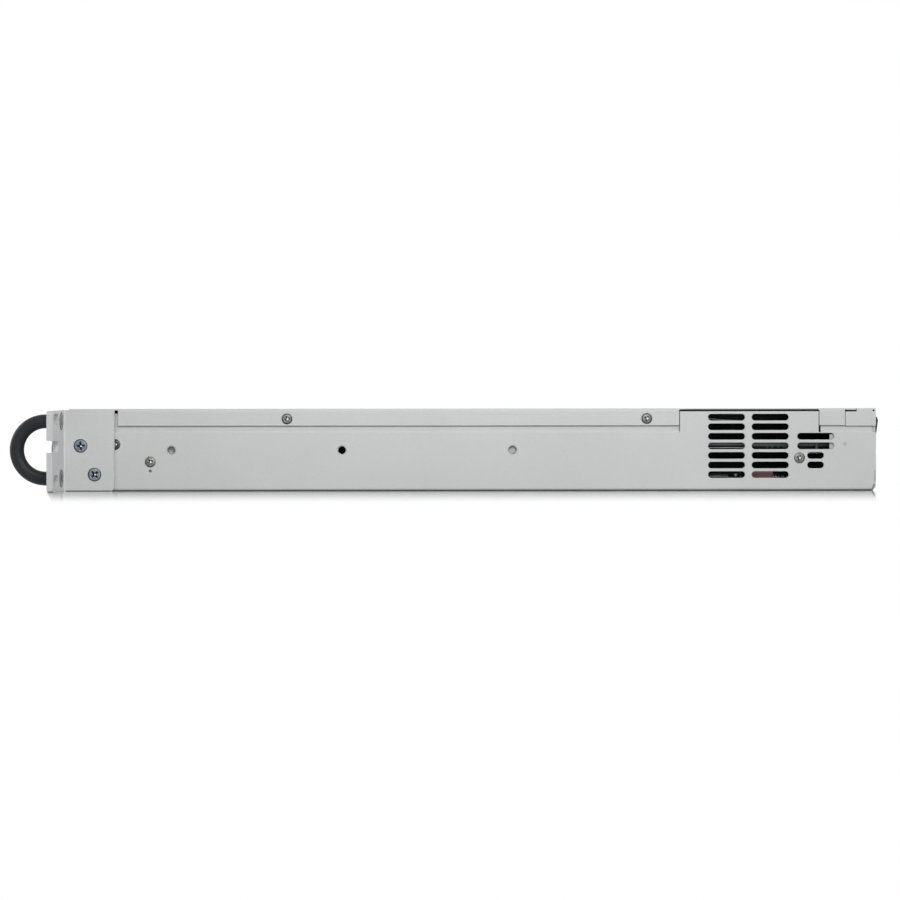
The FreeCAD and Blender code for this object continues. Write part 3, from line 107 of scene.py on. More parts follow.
class Finish:
    """One procedural material, built from textures in the piece's own coordinates."""

    def __init__(self, name, **constants):
        self.material = bpy.data.materials.new(name)
        self.material.use_nodes = True
        self.nodes = self.material.node_tree.nodes
        self.links = self.material.node_tree.links
        self.shader = self.nodes["Principled BSDF"]
        self.place = self.node("ShaderNodeTexCoord").outputs["Object"]
        self.normal = None
        self.set(**constants)

    def node(self, kind, settings=None, **inputs):
        made = self.nodes.new(kind)
        for name, value in (settings or {}).items():
            setattr(made, name, value)
        for name, value in inputs.items():
            self.feed(made.inputs[name.replace("_", " ")], value)
        return made

    def feed(self, socket, value):
        if isinstance(value, bpy.types.NodeSocket):
            self.links.new(value, socket)
        else:
            socket.default_value = value

    def set(self, **inputs):
        for name, value in inputs.items():
            self.feed(self.shader.inputs[name.replace("_", " ")], value)

    def noise(self, scale, detail=2.0, stretch=(1, 1, 1)):
        stretched = self.node("ShaderNodeMapping", Vector=self.place, Scale=stretch).outputs["Vector"]
        return self.node("ShaderNodeTexNoise", Vector=stretched, Scale=scale, Detail=detail).outputs["Fac"]

    def shades(self, factor, *stops):
        """A ramp of (place, colour or grey level) stops."""
        made = self.node("ShaderNodeValToRGB", Fac=factor)
        ramp = made.color_ramp
        while len(ramp.elements) < len(stops):
            ramp.elements.new(1.0)
        for element, (place, colour) in zip(ramp.elements, stops):
            element.position = place
            element.color = colour if isinstance(colour, tuple) else (colour, colour, colour, 1.0)
        return made.outputs["Color"]

    def drift(self, factor, colour, spread):
        """A colour that gets darker and lighter by a share."""
        darker = scaled(colour, 1 - spread)
        lighter = scaled(colour, 1 + spread)
        return self.shades(factor, (RAMP_LOW, darker), (RAMP_HIGH, lighter))

    def mixed(self, factor, one, other, blend="MIX"):
        made = self.node("ShaderNodeMix", {"data_type": "RGBA", "blend_type": blend})
        for place, value in zip(MIX_INPUTS, (factor, one, other)):
            self.feed(made.inputs[place], value)
        return made.outputs[MIX_RESULT]

    def figure(self, operation, one, other=0.0, third=0.0):
        """A figure worked out from up to three values."""
        made = self.node("ShaderNodeMath", {"operation": operation})
        for socket, value in zip(made.inputs, (one, other, third)):
            self.feed(socket, value)
        return made.outputs[0]

    def roughen(self, factor, roughness, smoother=0.08, rougher=0.1):
        """A roughness that changes about its level."""
        low = (RAMP_LOW, roughness - smoother)
        high = (RAMP_HIGH, roughness + rougher)
        self.set(Roughness=self.shades(factor, low, high))

    def soft_edges(self, radius):
        self.normal = self.node("ShaderNodeBevel", {"samples": 4}, Radius=radius).outputs["Normal"]
        self.set(Normal=self.normal)

    def relief(self, height, depth, strength=0.5):
        bump = self.node("ShaderNodeBump", Height=height, Distance=depth, Strength=strength)
        if self.normal is not None:
            self.links.new(self.normal, bump.inputs["Normal"])
        self.normal = bump.outputs["Normal"]
        self.set(Normal=self.normal)


def powder_coat(name, colour, edge=0.3 * MM, crevice_shade=0.76):
    """Baked paint: a fine pebble, faint clouds of darker and lighter tone, pin-point specks, and painted
    shade in its crevices.
    """
    finish = Finish(name, Specular_IOR_Level=0.2)
    cloud = finish.noise(scale=11, detail=3)
    pebble = finish.noise(scale=1500)
    specks = finish.noise(scale=2600, detail=1)
    tint = finish.drift(cloud, colour, spread=0.035)
    fleck = finish.shades(specks, (0.26, 0.82), (0.36, 1.0))
    # Painted shade: ambient occlusion darkens the colour in crevices, down to the crevice level
    open_air = finish.node("ShaderNodeAmbientOcclusion", {"samples": 8}, Distance=2.0 * MM).outputs["AO"]
    shade = finish.shades(open_air, (0.45, crevice_shade), (0.9, 1.0))
    speckled = finish.mixed(1.0, tint, fleck, "MULTIPLY")
    finish.set(Base_Color=finish.mixed(1.0, speckled, shade, "MULTIPLY"))
    finish.roughen(pebble, 0.6, smoother=0.06, rougher=0.08)
    finish.soft_edges(edge)
    finish.relief(pebble, depth=0.02 * MM)
    return finish.material


def moulded(name, colour, roughness=0.5, grain=1900, depth=0.02 * MM, gloss=0.45):
    """Moulded plastic with a fine spark-eroded grain."""
    finish = Finish(name, Specular_IOR_Level=gloss)
    grainy = finish.noise(scale=grain)
    cloud = finish.noise(scale=60)
    finish.set(Base_Color=finish.drift(cloud, colour, spread=0.1))
    finish.roughen(grainy, roughness)
    finish.soft_edges(0.25 * MM)
    finish.relief(grainy, depth)
    return finish.material


def plated(name, colour, other, roughness=0.32, mottle=240):
    """Plated metal whose tint drifts between two colours."""
    finish = Finish(name, Metallic=1.0)
    clouds = finish.noise(scale=mottle, detail=3)
    fine = finish.noise(scale=3200)
    finish.set(Base_Color=finish.shades(clouds, (0.35, colour), (0.65, other)))
    finish.roughen(fine, roughness)
    finish.soft_edges(0.12 * MM)
    finish.relief(fine, depth=0.006 * MM, strength=0.4)
    return finish.material


def brushed(name, colour, stretch, roughness=0.35):
    """Metal with drawn lines along one axis."""
    finish = Finish(name, Metallic=1.0)
    lines = finish.noise(scale=900, stretch=stretch)
    finish.set(Base_Color=finish.shades(lines, (0.25, scaled(colour, 0.82)), (0.75, scaled(colour, 1.08))))
    finish.roughen(lines, roughness, rougher=0.12)
    finish.soft_edges(0.15 * MM)
    finish.relief(lines, depth=0.008 * MM)
    return finish.material


def circuit_board(name, colour):
    """Solder resist with tracks under it and tinned pads."""
    finish = Finish(name, Roughness=0.32, Specular_IOR_Level=0.5)
    tracks = finish.node("ShaderNodeTexBrick", Vector=finish.place, Scale=160.0, Mortar_Size=0.03,
                         Brick_Width=0.9, Row_Height=0.22, Color1=colour, Color2=scaled(colour, 0.8),
                         Mortar=scaled(colour, 2.2))
    pads = finish.node("ShaderNodeTexVoronoi", Vector=finish.place, Scale=420.0)
    dots = finish.shades(pads.outputs["Distance"], (0.2, 1.0), (0.24, 0.0))
    finish.set(Base_Color=finish.mixed(dots, tracks.outputs["Color"], srgb(176, 178, 172)))
    finish.relief(tracks.outputs["Fac"], depth=0.03 * MM)
    return finish.material


def smoked(name, colour):
    """Tinted clear acrylic with faint polishing haze."""
    finish = Finish(name, Transmission_Weight=0.92, IOR=1.49, Base_Color=colour)
    haze = finish.noise(scale=700)
    finish.set(Roughness=finish.shades(haze, (0.3, 0.02), (0.8, 0.09)))
    return finish.material


def dress(material, *names):
    for name in names:
        slots = nodes[name].data.materials
        slots.clear()
        slots.append(material)


def dress_faces(name, material, chosen):
    """Give a material to the faces of a node that a test of middle and normal picks."""
    mesh = nodes[name].data
    mesh.materials.append(material)
    index = len(mesh.materials) - 1
    for face in mesh.polygons:
        if chosen(face.center, face.normal):
            face.material_index = index


# Paints
EAR_EDGE = 0.12 * MM
case_paint = powder_coat("case_paint", srgb(196, 198, 197))
cover_paint = powder_coat("cover_paint", srgb(196, 198, 197))
ear_paint = powder_coat("ear_paint", srgb(198, 200, 199), EAR_EDGE, crevice_shade=0.95)
# Painted shade: a darker paint for the ears' rear faces, which face away from the light
ear_rear_painted_shade = powder_coat("ear_rear_painted_shade", srgb(191, 193, 194), EAR_EDGE, crevice_shade=0.95)
# Painted shade: a darker paint for the walls inside the ears' rack slots
slot_painted_shade = powder_coat("slot_painted_shade", srgb(180, 182, 181))
# Painted light: a lighter paint without crevice shade for the ears' lower outer corners, against the shadow
# there
foot_painted_light = powder_coat("foot_painted_light", srgb(218, 220, 219), crevice_shade=1.0)
# Painted light: a lighter paint with little crevice shade for the case's lower folds
fold_painted_light = powder_coat("fold_painted_light", srgb(198, 200, 199), crevice_shade=0.95)

# Plastics of the front, the handles and the fans
bezel_plastic = moulded("bezel_plastic", srgb(186, 189, 190), roughness=0.55)
handle_coat = moulded("handle_coat", srgb(34, 38, 41), grain=1300, depth=0.03 * MM, gloss=0.22)
black_plastic = moulded("black_plastic", srgb(34, 34, 36))
fan_plastic = moulded("fan_plastic", srgb(27, 27, 29), roughness=0.55, grain=900)
button_plastic = moulded("button_plastic", srgb(112, 117, 121))
dark_plastic = moulded("dark_plastic", srgb(58, 58, 62))

# Metals, with the stretch that draws their lines along one axis
DRAWN_BACK = (1, 0.03, 1)
DRAWN_UP = (1, 1, 0.05)
TURNED = (0.05, 1, 0.05)
blue_zinc = plated("blue_zinc", srgb(144, 153, 161), srgb(118, 127, 136), roughness=0.38)
bright_zinc = plated("bright_zinc", srgb(196, 198, 198), srgb(178, 180, 182))
grey_zinc = plated("grey_zinc", srgb(150, 150, 148), srgb(92, 91, 90), roughness=0.4, mottle=900)
worn_zinc = plated("worn_zinc", srgb(174, 172, 169), srgb(118, 115, 112), roughness=0.5, mottle=900)
rim_zinc = plated("rim_zinc", srgb(128, 126, 122), srgb(104, 102, 99), roughness=0.5, mottle=900)
# Painted shade: a dark zinc for the hollows and rims of screw heads
zinc_painted_shade = plated("zinc_painted_shade", srgb(92, 94, 94), srgb(74, 76, 78), roughness=0.5)
# Painted highlight: a near-white metal for glints in screw recesses
painted_glint_metal = plated("painted_glint_metal", srgb(250, 251, 252), srgb(238, 239, 240), roughness=0.2)
gold = plated("gold", srgb(214, 176, 96), srgb(200, 160, 82), roughness=0.25)
can_metal = plated("can_metal", srgb(164, 163, 160), srgb(150, 149, 146), roughness=0.4)
clip_metal = brushed("clip_metal", srgb(112, 113, 108), DRAWN_UP, roughness=0.5)
nickel = plated("nickel", srgb(206, 202, 192), srgb(190, 186, 176), roughness=0.25)
inner_steel = brushed("inner_steel", srgb(186, 188, 188), DRAWN_BACK)
# Painted shade: steel darkened far below its own tone for faces inside the case
steel_painted_shade = brushed("steel_painted_shade", srgb(36, 37, 38), DRAWN_BACK, roughness=0.65)
sink_metal = moulded("sink_metal", srgb(14, 15, 16), roughness=0.7, grain=700, gloss=0.15)
sink_edge = brushed("sink_edge", srgb(94, 100, 102), DRAWN_BACK, roughness=0.5)
turned_steel = brushed("turned_steel", srgb(190, 190, 188), TURNED, roughness=0.25)

# Boards, displays and what stands on the boards
dark_board = circuit_board("dark_board", srgb(9, 17, 14))
window_acrylic = smoked("window_acrylic", srgb(74, 58, 58))
lamp_clear = smoked("lamp_clear", srgb(214, 226, 206))
display_face = moulded("display_face", srgb(40, 40, 43), roughness=0.35)
segment_resin = moulded("segment_resin", srgb(112, 110, 106), roughness=0.4)
ferrite = moulded("ferrite", srgb(52, 52, 55), roughness=0.7, grain=700)
copper_wire = plated("copper_wire", srgb(176, 96, 58), srgb(150, 78, 44), roughness=0.4)
can_sleeve = moulded("can_sleeve", srgb(40, 46, 66), roughness=0.3)
brown_film = moulded("brown_film", srgb(128, 92, 88), roughness=0.45)

# Small fitted details and inks
nut_grey = moulded("nut_grey", srgb(180, 182, 182))
# Painted shade: greys for dark lines along edges and in the pin holes
edge_and_hole_painted_shade = moulded("edge_and_hole_painted_shade", srgb(118, 120, 120), roughness=0.6)
rear_edge_painted_shade = moulded("rear_edge_painted_shade", srgb(156, 158, 158), roughness=0.6)
slate_pad = moulded("slate_pad", srgb(140, 146, 164), roughness=0.6)
chip_resin = moulded("chip_resin", srgb(17, 17, 19), gloss=0.2)
tinned = moulded("tinned", srgb(214, 215, 212), roughness=0.4)
# A light grey for the film on the fins and for a painted highlight along them
film_and_painted_highlight = moulded("film_and_painted_highlight", srgb(184, 186, 186), roughness=0.4)
cross_shade = moulded("cross_shade", srgb(48, 57, 65), roughness=0.7, gloss=0.1)
recess_shade = moulded("recess_shade", srgb(26, 28, 31), roughness=0.7, gloss=0.1)
white_ink = moulded("white_ink", srgb(226, 228, 226), roughness=0.6)
dark_ink = moulded("dark_ink", srgb(58, 62, 66), roughness=0.6)

FANS = range(1, 5)
BUTTONS = ("fold", "remote", "output", "fine", "limit", "protect")
EARS = ("rack_ear_right", "rack_ear_left")
SINKS = ("input_heatsink", "output_heatsink")
dress(case_paint, "base_chassis", "rear_panel")
dress(cover_paint, "top_cover")
dress(ear_paint, *EARS)
dress(bezel_plastic, "front_bezel")
dress(inner_steel, "front_subpanel")
dress(handle_coat, "handle_right", "handle_left")
dress(blue_zinc, "handle_screws", "ear_screws", "board_standoffs")
dress(grey_zinc, "case_screws")
dress(nut_grey, "slide_nuts")
dress(bright_zinc, "analog_connector", "usb_socket", "lan_jack", "ground_stud")
dress(black_plastic, "power_switch_frame", "power_rocker", "voltage_knob", "current_knob")
dress(black_plastic, "sense_plug", "ac_inlet", "bar_insulator")
dress(fan_plastic, *[f"fan_frame_{fan}" for fan in FANS], *[f"fan_rotor_{fan}" for fan in FANS])
dress(button_plastic, *[f"{button}_button" for button in BUTTONS])
dress(turned_steel, "voltage_shaft", "current_shaft")
dress(dark_plastic, "voltage_encoder", "current_encoder", "tact_switches")
dress(window_acrylic, "display_window")
dress(display_face, "voltage_display", "current_display")
dress(lamp_clear, "indicator_lamps")
dress(dark_board, "front_board", "main_board")
dress(sink_metal, *SINKS)
dress(ferrite, "main_transformer")
dress(copper_wire, "output_choke")
dress(can_sleeve, "bulk_capacitors")
dress(brown_film, "film_capacitor")
dress(nickel, "output_bar_positive", "output_bar_negative", "inlet_pins")


# Tests that pick a node's faces for a finish of their own, with limits for a normal's share along an axis
SQUARE = 0.9
SLANT = 0.5
EDGE_ON = 0.1
SKIN = 1.0 * MM
FIN_MARGIN = 1.8 * MM
MOUTH_MARGIN = 0.1 * MM
SHADED_FOLD = 0.32 * MM


def faces_inward(middle, normal):
    return middle.x * normal.x < 0 and abs(normal.x) > SLANT


def floor_or_wall_inside(middle, normal):
    inside = abs(middle.x) < side_face - SKIN
    return inside and (faces_inward(middle, normal) or normal.z > SLANT)


def under_cover(middle, normal):
    return normal.z < -SQUARE or faces_inward(middle, normal)


def fin_edge(middle, normal):
    """Outer edges of the heat sinks' fins."""
    outward = normal.x * middle.x > 0 and abs(normal.x) > SQUARE
    return outward and abs(abs(middle.x) - fin_face) < FIN_MARGIN


def corner_hole(middle, normal):
    """Inside of the rear panel's two corner holes."""
    hole_up = case_top - 1.3 * MM
    hole_reach = 0.6 * MM
    tab_front = rear_face - 1.9 * MM
    deep = side_face - 2.0 * MM < abs(middle.x) < side_face - 0.05 * MM
    return deep and middle.y > tab_front and abs(middle.z - hole_up) < hole_reach


def against_wall(middle, normal):
    return abs(normal.x) > SQUARE and abs(middle.x) > side_face - 1.5 * MM


def nut_collar(middle, normal):
    """Ends of the clinch nuts that show in the side walls."""
    return abs(normal.x) > SQUARE and abs(middle.x) > side_face - 0.6 * MM


def slot_wall(middle, normal):
    """Lower and side walls of the rack slots in an ear."""
    notch_half = 8 * MM
    slots_from = side_face + 12 * MM
    through = abs(normal.y) < 0.3 and normal.z > -0.2
    clear_of_notch = abs(middle.z - middle_up) > notch_half
    return through and clear_of_notch and slots_from < abs(middle.x) < ear_out - SKIN


def ear_rear(middle, normal):
    clear_of_plate = side_face + 3.5 * MM
    return normal.y > SQUARE and abs(middle.x) > clear_of_plate


def ear_foot(middle, normal):
    """The rounded lower corner at the outer end of an ear."""
    corner = 2.5 * MM
    corner_top = 3 * MM
    return abs(middle.x) > ear_out - corner and middle.z < corner_top and normal.z < -0.15


def lower_fold(middle, normal):
    """The rounded folds between the walls and the underside."""
    fold = 1.6 * MM
    outside = abs(middle.x) > side_face - fold and middle.z < fold
    return outside and abs(normal.y) < EDGE_ON and normal.z < -0.05


def under_fold(middle, normal):
    """The part of those folds that lies close to the floor."""
    return lower_fold(middle, normal) and middle.z < SHADED_FOLD


def behind_panel(middle, normal):
    return middle.y < rear_face - SKIN


def near_point(middle, across, up, width, height):
    return abs(middle.x - across) < width / 2 and abs(middle.z - up) < height / 2


def dress_connector():
    """A dark insert and gold contacts in the programming connector."""
    across = middle_across("analog_connector")
    up = middle_height("analog_connector")
    insert_face = rear_face + 6 * MM
    insert_size = (41 * MM, 9 * MM)
    contact_field = (37 * MM, 6 * MM)
    contact_depth = 2 * MM

    def insert(middle, normal):
        if middle.y > insert_face - MOUTH_MARGIN:
            return near_point(middle, across, up, *insert_size)
        return abs(normal.y) < EDGE_ON and near_point(middle, across, up, *contact_field)

    def contact(middle, normal):
        deep = normal.y > SQUARE and middle.y < insert_face - contact_depth
        return deep and near_point(middle, across, up, *contact_field)

    dress_faces("analog_connector", black_plastic, insert)
    dress_faces("analog_connector", gold, contact)


def dress_mouth(name, width, height):
    """A dark inside for a socket's mouth."""
    low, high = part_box(name)
    across = middle_across(name)
    up = middle_height(name)

    def in_mouth(middle, normal):
        inside = low.y + SKIN < middle.y < high.y - MOUTH_MARGIN
        return inside and near_point(middle, across, up, width, height)

    dress_faces(name, black_plastic, in_mouth)


# Painted shade inside the rear panel's corner holes
dress_faces("rear_panel", recess_shade, corner_hole)
dress_faces("slide_nuts", case_paint, nut_collar)
# Painted shade on the ears' rear faces and the walls of their rack slots, painted light on their lower
# outer corners
for ear in EARS:
    dress_faces(ear, ear_rear_painted_shade, ear_rear)
    dress_faces(ear, slot_painted_shade, slot_wall)
    dress_faces(ear, foot_painted_light, ear_foot)
# Painted shade: the faces inside the case, and the subpanel's faces against its walls, take a very dark
# steel
dress_faces("front_subpanel", steel_painted_shade, against_wall)
dress_faces("base_chassis", steel_painted_shade, floor_or_wall_inside)
# Painted light on the case's lower folds, and painted shade on their part next to the floor
dress_faces("base_chassis", fold_painted_light, lower_fold)
dress_faces("base_chassis", recess_shade, under_fold)
dress_faces("top_cover", steel_painted_shade, under_cover)
# Painted light: the fins' tips take a lighter metal than the black sink, for the light that reaches them
# through the vents
for sink in SINKS:
    dress_faces(sink, sink_edge, fin_edge)
for socket_name in ("analog_connector", "usb_socket", "lan_jack"):
    dress_faces(socket_name, black_plastic, behind_panel)
dress_connector()
dress_mouth("usb_socket", width=9.0 * MM, height=8.4 * MM)
dress_mouth("lan_jack", width=12.4 * MM, height=11.0 * MM)


# Meshes
SHARP_ANGLE = math.radians(35)


def add_piece(name, form, body, slot, *materials):
    """A finished mesh as a piece that rides on a body."""
    bmesh.ops.recalc_face_normals(form, faces=form.faces)
    mesh = bpy.data.meshes.new(name)
    form.to_mesh(mesh)
    form.free()
    for material in materials:
        mesh.materials.append(material)
    mesh.set_sharp_from_angle(angle=SHARP_ANGLE)
    piece = bpy.data.objects.new(name, mesh)
    bpy.context.scene.collection.objects.link(piece)
    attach(piece, body)
    return piece


def polar(radius, angle):
    return radius * math.cos(angle), radius * math.sin(angle)


def add_turned(form, place, outline, segments=48, recess=None):
    """A turned form about its local X axis, from (radius, height, material) points.

    A recess gives each point of the crown a depth and a material, or none where the crown is whole."""
    rings = []
    for radius, height, material in outline:
        ring = []
        for i in range(segments):
            across, up = polar(radius, 2 * math.pi * i / segments)
            sunk = recess(across, up)[0] if recess and height >= 0 else 0.0
            ring.append(form.verts.new(place @ Vector((height - sunk, across, up))))
        rings.append(ring)
    for inner, outer, (radius, height, material) in zip(rings, rings[1:], outline[1:]):
        for i in range(segments):
            j = (i + 1) % segments
            face = form.faces.new((inner[i], inner[j], outer[j], outer[i]))
            face.material_index = material
            if recess and height >= 0:
                hollow = recess(*polar(radius, 2 * math.pi * (i + 0.5) / segments))[1]
                face.material_index = material if hollow is None else hollow
    form.faces.new(rings[0]).material_index = recess(0, 0)[1] if recess else outline[0][2]
    form.faces.new(rings[-1]).material_index = outline[-1][2]


def add_rim(form, place, outline, segments=48):
    """A ring about the local X axis, from the (radius, height) points of its closed section."""
    rings = []
    for radius, height in outline:
        spots = [polar(radius, 2 * math.pi * i / segments) for i in range(segments)]
        rings.append([form.verts.new(place @ Vector((height, *spot))) for spot in spots])
    for inner, outer in zip(rings, rings[1:] + rings[:1]):
        for i in range(segments):
            j = (i + 1) % segments
            form.faces.new((inner[i], inner[j], outer[j], outer[i]))


def add_block(form, middle, size, edge, material=0):
    """A block with rounded edges."""
    place = Matrix.Translation(middle) @ Matrix.Diagonal((*size, 1.0))
    verts = bmesh.ops.create_cube(form, size=1.0, matrix=place)["verts"]
    for face in {face for vert in verts for face in vert.link_faces}:
        face.material_index = material
    edges = list({line for vert in verts for line in vert.link_edges})
    bmesh.ops.bevel(form, geom=edges, offset=edge, segments=2, profile=0.5, affect="EDGES")


def plane(origin, right, up):
    """A drawing plane: u along right, v along up, w out of the face."""
    right = Vector(right).normalized()
    up = Vector(up).normalized()
    out = right.cross(up)
    turned = Matrix((right, up, out)).transposed().to_4x4()
    return Matrix.Translation(origin) @ turned


def add_stroke(form, face, start, end, width, depth=0.06 * MM, material=0):
    """A flat bar with pointed ends, drawn on a plane."""
    start = Vector(start)
    end = Vector(end)
    along = (end - start).normalized() * width / 2
    aside = Vector((-along.y, along.x))
    upper = (start, start + along + aside, end - along + aside)
    lower = (end, end - along - aside, start + along - aside)
    outline = upper + lower
    low = [form.verts.new(face @ Vector((spot.x, spot.y, 0.0))) for spot in outline]
    top = [form.verts.new(face @ Vector((spot.x, spot.y, depth))) for spot in outline]
    count = len(outline)
    walls = [(low[i], low[(i + 1) % count], top[(i + 1) % count], top[i]) for i in range(count)]
    for corners in (top, low[::-1], *walls):
        form.faces.new(corners).material_index = material


def add_strokes(form, face, lines, width, material=0):
    for start, end in lines:
        add_stroke(form, face, start, end, width, material=material)


# Screws with a cross recess: slots of their materials, and the slots of crown and rim in each look
# The hollow slot paints shade in recesses, on dark rims and on shaded heads; the last slot is a painted
# glint
CROWN, RIM, HOLLOW, PAINTED_GLINT = range(4)
PLAIN = (CROWN, RIM)
DARK_RIM = (CROWN, HOLLOW)
SHADED = (HOLLOW, HOLLOW)


def facing(place, heading, turn):
    """A local X axis at a place, headed round the upright axis and turned about itself, in degrees."""
    headed = Matrix.Rotation(math.radians(heading), 4, "Z")
    return Matrix.Translation(place) @ headed @ Matrix.Rotation(math.radians(turn), 4, "X")


def cross_recess(reach, depth, glint):
    """Four arms that run out toward their ends, with painted shade inside and a painted glint near the
    middle.
    """
    half = reach * 0.22
    run_out = reach * 0.55
    flank = half * 0.35
    glint_off = glint * 0.4

    def arm(along, aside):
        run = min(1.0, max(0.0, (reach - abs(along)) / run_out))
        side = min(1.0, max(0.0, (half - abs(aside)) / flank))
        return run * side

    def at(across, up):
        sunk = max(arm(across, up), arm(up, across))
        if math.hypot(across - glint_off, up + glint_off) < glint:
            return depth * sunk * 0.4, PAINTED_GLINT
        return depth * sunk, HOLLOW if sunk > 0.25 else None

    return at


def screw_outline(radius, dome, rim, head, shank, length):
    """A domed head with a rounded rim, which takes a darker material as painted shade, then the shank."""
    crown = radius - rim
    tip = 0.4 * MM
    steps = 22
    points = []
    for i in range(1, steps + 1):
        out = i / steps
        points.append((crown * out, dome * (1 - out * out), CROWN))
    points += [(radius - rim * 0.4, -dome * 0.35, RIM), (radius, -dome, RIM), (radius, -head, RIM)]
    points += [(shank, -head, RIM), (shank, -length + tip, RIM), (shank * 0.7, -length, RIM)]
    return points


def make_screws(name, node, slot, places, outline, recess, *materials):
    """Screws at (place, look) pairs, which stand in for a node's plain ones."""
    form = bmesh.new()
    for place, look in places:
        points = [(radius, height, look[part]) for radius, height, part in outline]
        add_turned(form, place, points, segments=64, recess=recess)
    piece = add_piece(name, form, "case", slot, *materials)
    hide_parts(node)


def side_places(face, spots):
    """Places on both sides, from spots back from the ear, up and turned, in millimetres and degrees."""
    places = []
    for back, up, turn in spots:
        for side, heading in zip(SIDES, (0, 180)):
            places.append(facing((side * face, ear_front + back * MM, up * MM), heading, turn))
    return places


# Where the screws sit: spots on the sides, and the handle screws about the middle of the ears
COVER_SCREWS = ((120.9, 38.1, 20), (312.1, 38.1, 55))
WALL_SCREWS = ((48.2, 15.3, 30), (393.2, 17.1, 62))
SMALL_SCREWS = ((30.0, 24.6, 60),)
SMALL_SCALE = 0.84
EAR_SCREWS = ((11.8, 23.9, 5), (19.2, 8.7, 41))
HANDLE_SCREW_UP = 15.05 * MM
HANDLE_SCREW_OUT = 8.6 * MM
HANDLE_SCREW_TURN = 35


def make_case_screws():
    places = [(place, DARK_RIM) for place in side_places(side_face, COVER_SCREWS)]
    places += [(place, PLAIN) for place in side_places(side_face, WALL_SCREWS)]
    small = Matrix.Scale(SMALL_SCALE, 4)
    places += [(place @ small, SHADED) for place in side_places(side_face, SMALL_SCREWS)]
    outline = screw_outline(radius=2.7 * MM, dome=0.22 * MM, rim=0.6 * MM, head=0.9 * MM,
                            shank=1.5 * MM, length=7.0 * MM)
    recess = cross_recess(reach=1.7 * MM, depth=0.8 * MM, glint=0.6 * MM)
    make_screws("case_screw_heads", "case_screws", "case_screw", places, outline, recess,
                grey_zinc, rim_zinc, zinc_painted_shade, painted_glint_metal)


def make_ear_screws():
    places = [(place, PLAIN) for place in side_places(plate_face, EAR_SCREWS)]
    outline = screw_outline(radius=3.5 * MM, dome=0.16 * MM, rim=0.4 * MM, head=1.7 * MM,
                            shank=2.0 * MM, length=8.5 * MM)
    recess = cross_recess(reach=2.5 * MM, depth=1.2 * MM, glint=0.5 * MM)
    make_screws("ear_screw_heads", "ear_screws", "zinc", places, outline, recess,
                blue_zinc, zinc_painted_shade, cross_shade, painted_glint_metal)


def make_handle_screws():
    places = []
    for side in SIDES:
        for up in (HANDLE_SCREW_UP, -HANDLE_SCREW_UP):
            spot = (side * (side_face + HANDLE_SCREW_OUT), ear_back, middle_up + up)
            places.append((facing(spot, heading=90, turn=HANDLE_SCREW_TURN), PLAIN))
    outline = screw_outline(radius=4.6 * MM, dome=0.15 * MM, rim=0.5 * MM, head=2.1 * MM,
                            shank=2.4 * MM, length=10.0 * MM)
    recess = cross_recess(reach=2.6 * MM, depth=1.5 * MM, glint=0.5 * MM)
    # Dark zinc and near-black paint shade its rims and hollows, and bright zinc paints the glint
    make_screws("handle_screw_heads", "handle_screws", "zinc", places, outline, recess,
                worn_zinc, zinc_painted_shade, recess_shade, bright_zinc)


make_case_screws()
make_ear_screws()
make_handle_screws()


# Small parts on the main board by the side vents, with the slots of their materials
RESIN, TIN, CAN = range(3)
CHIP_PITCH = 1.27 * MM
CHIPS = ((346.6, 8), (376.5, 5))
RESISTORS_BACK = (362.4, 384.6, 387.2)
SMALL_CAN_BACK = 360.7

# Bends of a chip's pin in millimetres: out from the chip, up from the board, length out, height
PIN_BENDS = ((0.25, 0.58, 0.5, 0.2), (0.5, 0.34, 0.2, 0.6), (0.9, 0.12, 0.8, 0.2))


def add_chip(form, front, pins):
    """A flat chip at the board's edge with bent pins toward the wall."""
    length = pins * CHIP_PITCH
    width = 4.0 * MM
    height = 1.5 * MM
    body_up = 0.95 * MM
    pin_width = 0.7 * MM
    side = board_edge - 1.6 * MM
    middle = (side - width / 2, front + length / 2, board_top + body_up)
    add_block(form, middle, (width, length, height), edge=0.12 * MM, material=RESIN)
    for i in range(pins):
        along = front + CHIP_PITCH * (i + 0.5)
        for out, up, reach, tall in PIN_BENDS:
            place = (side + out * MM, along, board_top + up * MM)
            add_block(form, place, (reach * MM, pin_width, tall * MM), edge=0.04 * MM, material=TIN)


def add_resistor(form, along):
    """A chip resistor with tinned ends."""
    across = board_edge - 1.4 * MM
    up = board_top + 0.3 * MM
    body_size = (1.2 * MM, 1.1 * MM, 0.55 * MM)
    end_size = (1.25 * MM, 0.4 * MM, 0.6 * MM)
    end_out = 0.75 * MM
    add_block(form, (across, along, up), body_size, edge=0.06 * MM, material=RESIN)
    for end in (-end_out, end_out):
        add_block(form, (across, along + end, up), end_size, edge=0.08 * MM, material=TIN)


def add_can(form, along, radius, height):
    """A small aluminium can, necked at half its height, on a plastic foot."""
    across = board_edge - radius - 0.6 * MM
    foot = 0.5 * MM
    lift = 0.02 * MM
    side = radius * 0.95
    neck = radius * 0.86
    foot_middle = (across, along, board_top + foot / 2 + lift)
    add_block(form, foot_middle, (radius * 2, radius * 2, foot), edge=0.1 * MM, material=RESIN)
    outline = [
        (radius * 0.3, height), (radius * 0.8, height), (side, height - 0.12 * MM),
        (side, height * 0.55), (neck, height * 0.5), (side, height * 0.45),
        (side, foot), (radius * 0.5, foot),
    ]
    stand = Matrix.Translation((across, along, board_top)) @ Matrix.Rotation(-math.pi / 2, 4, "Y")
    add_turned(form, stand, [(out, up, CAN) for out, up in outline], segments=32)


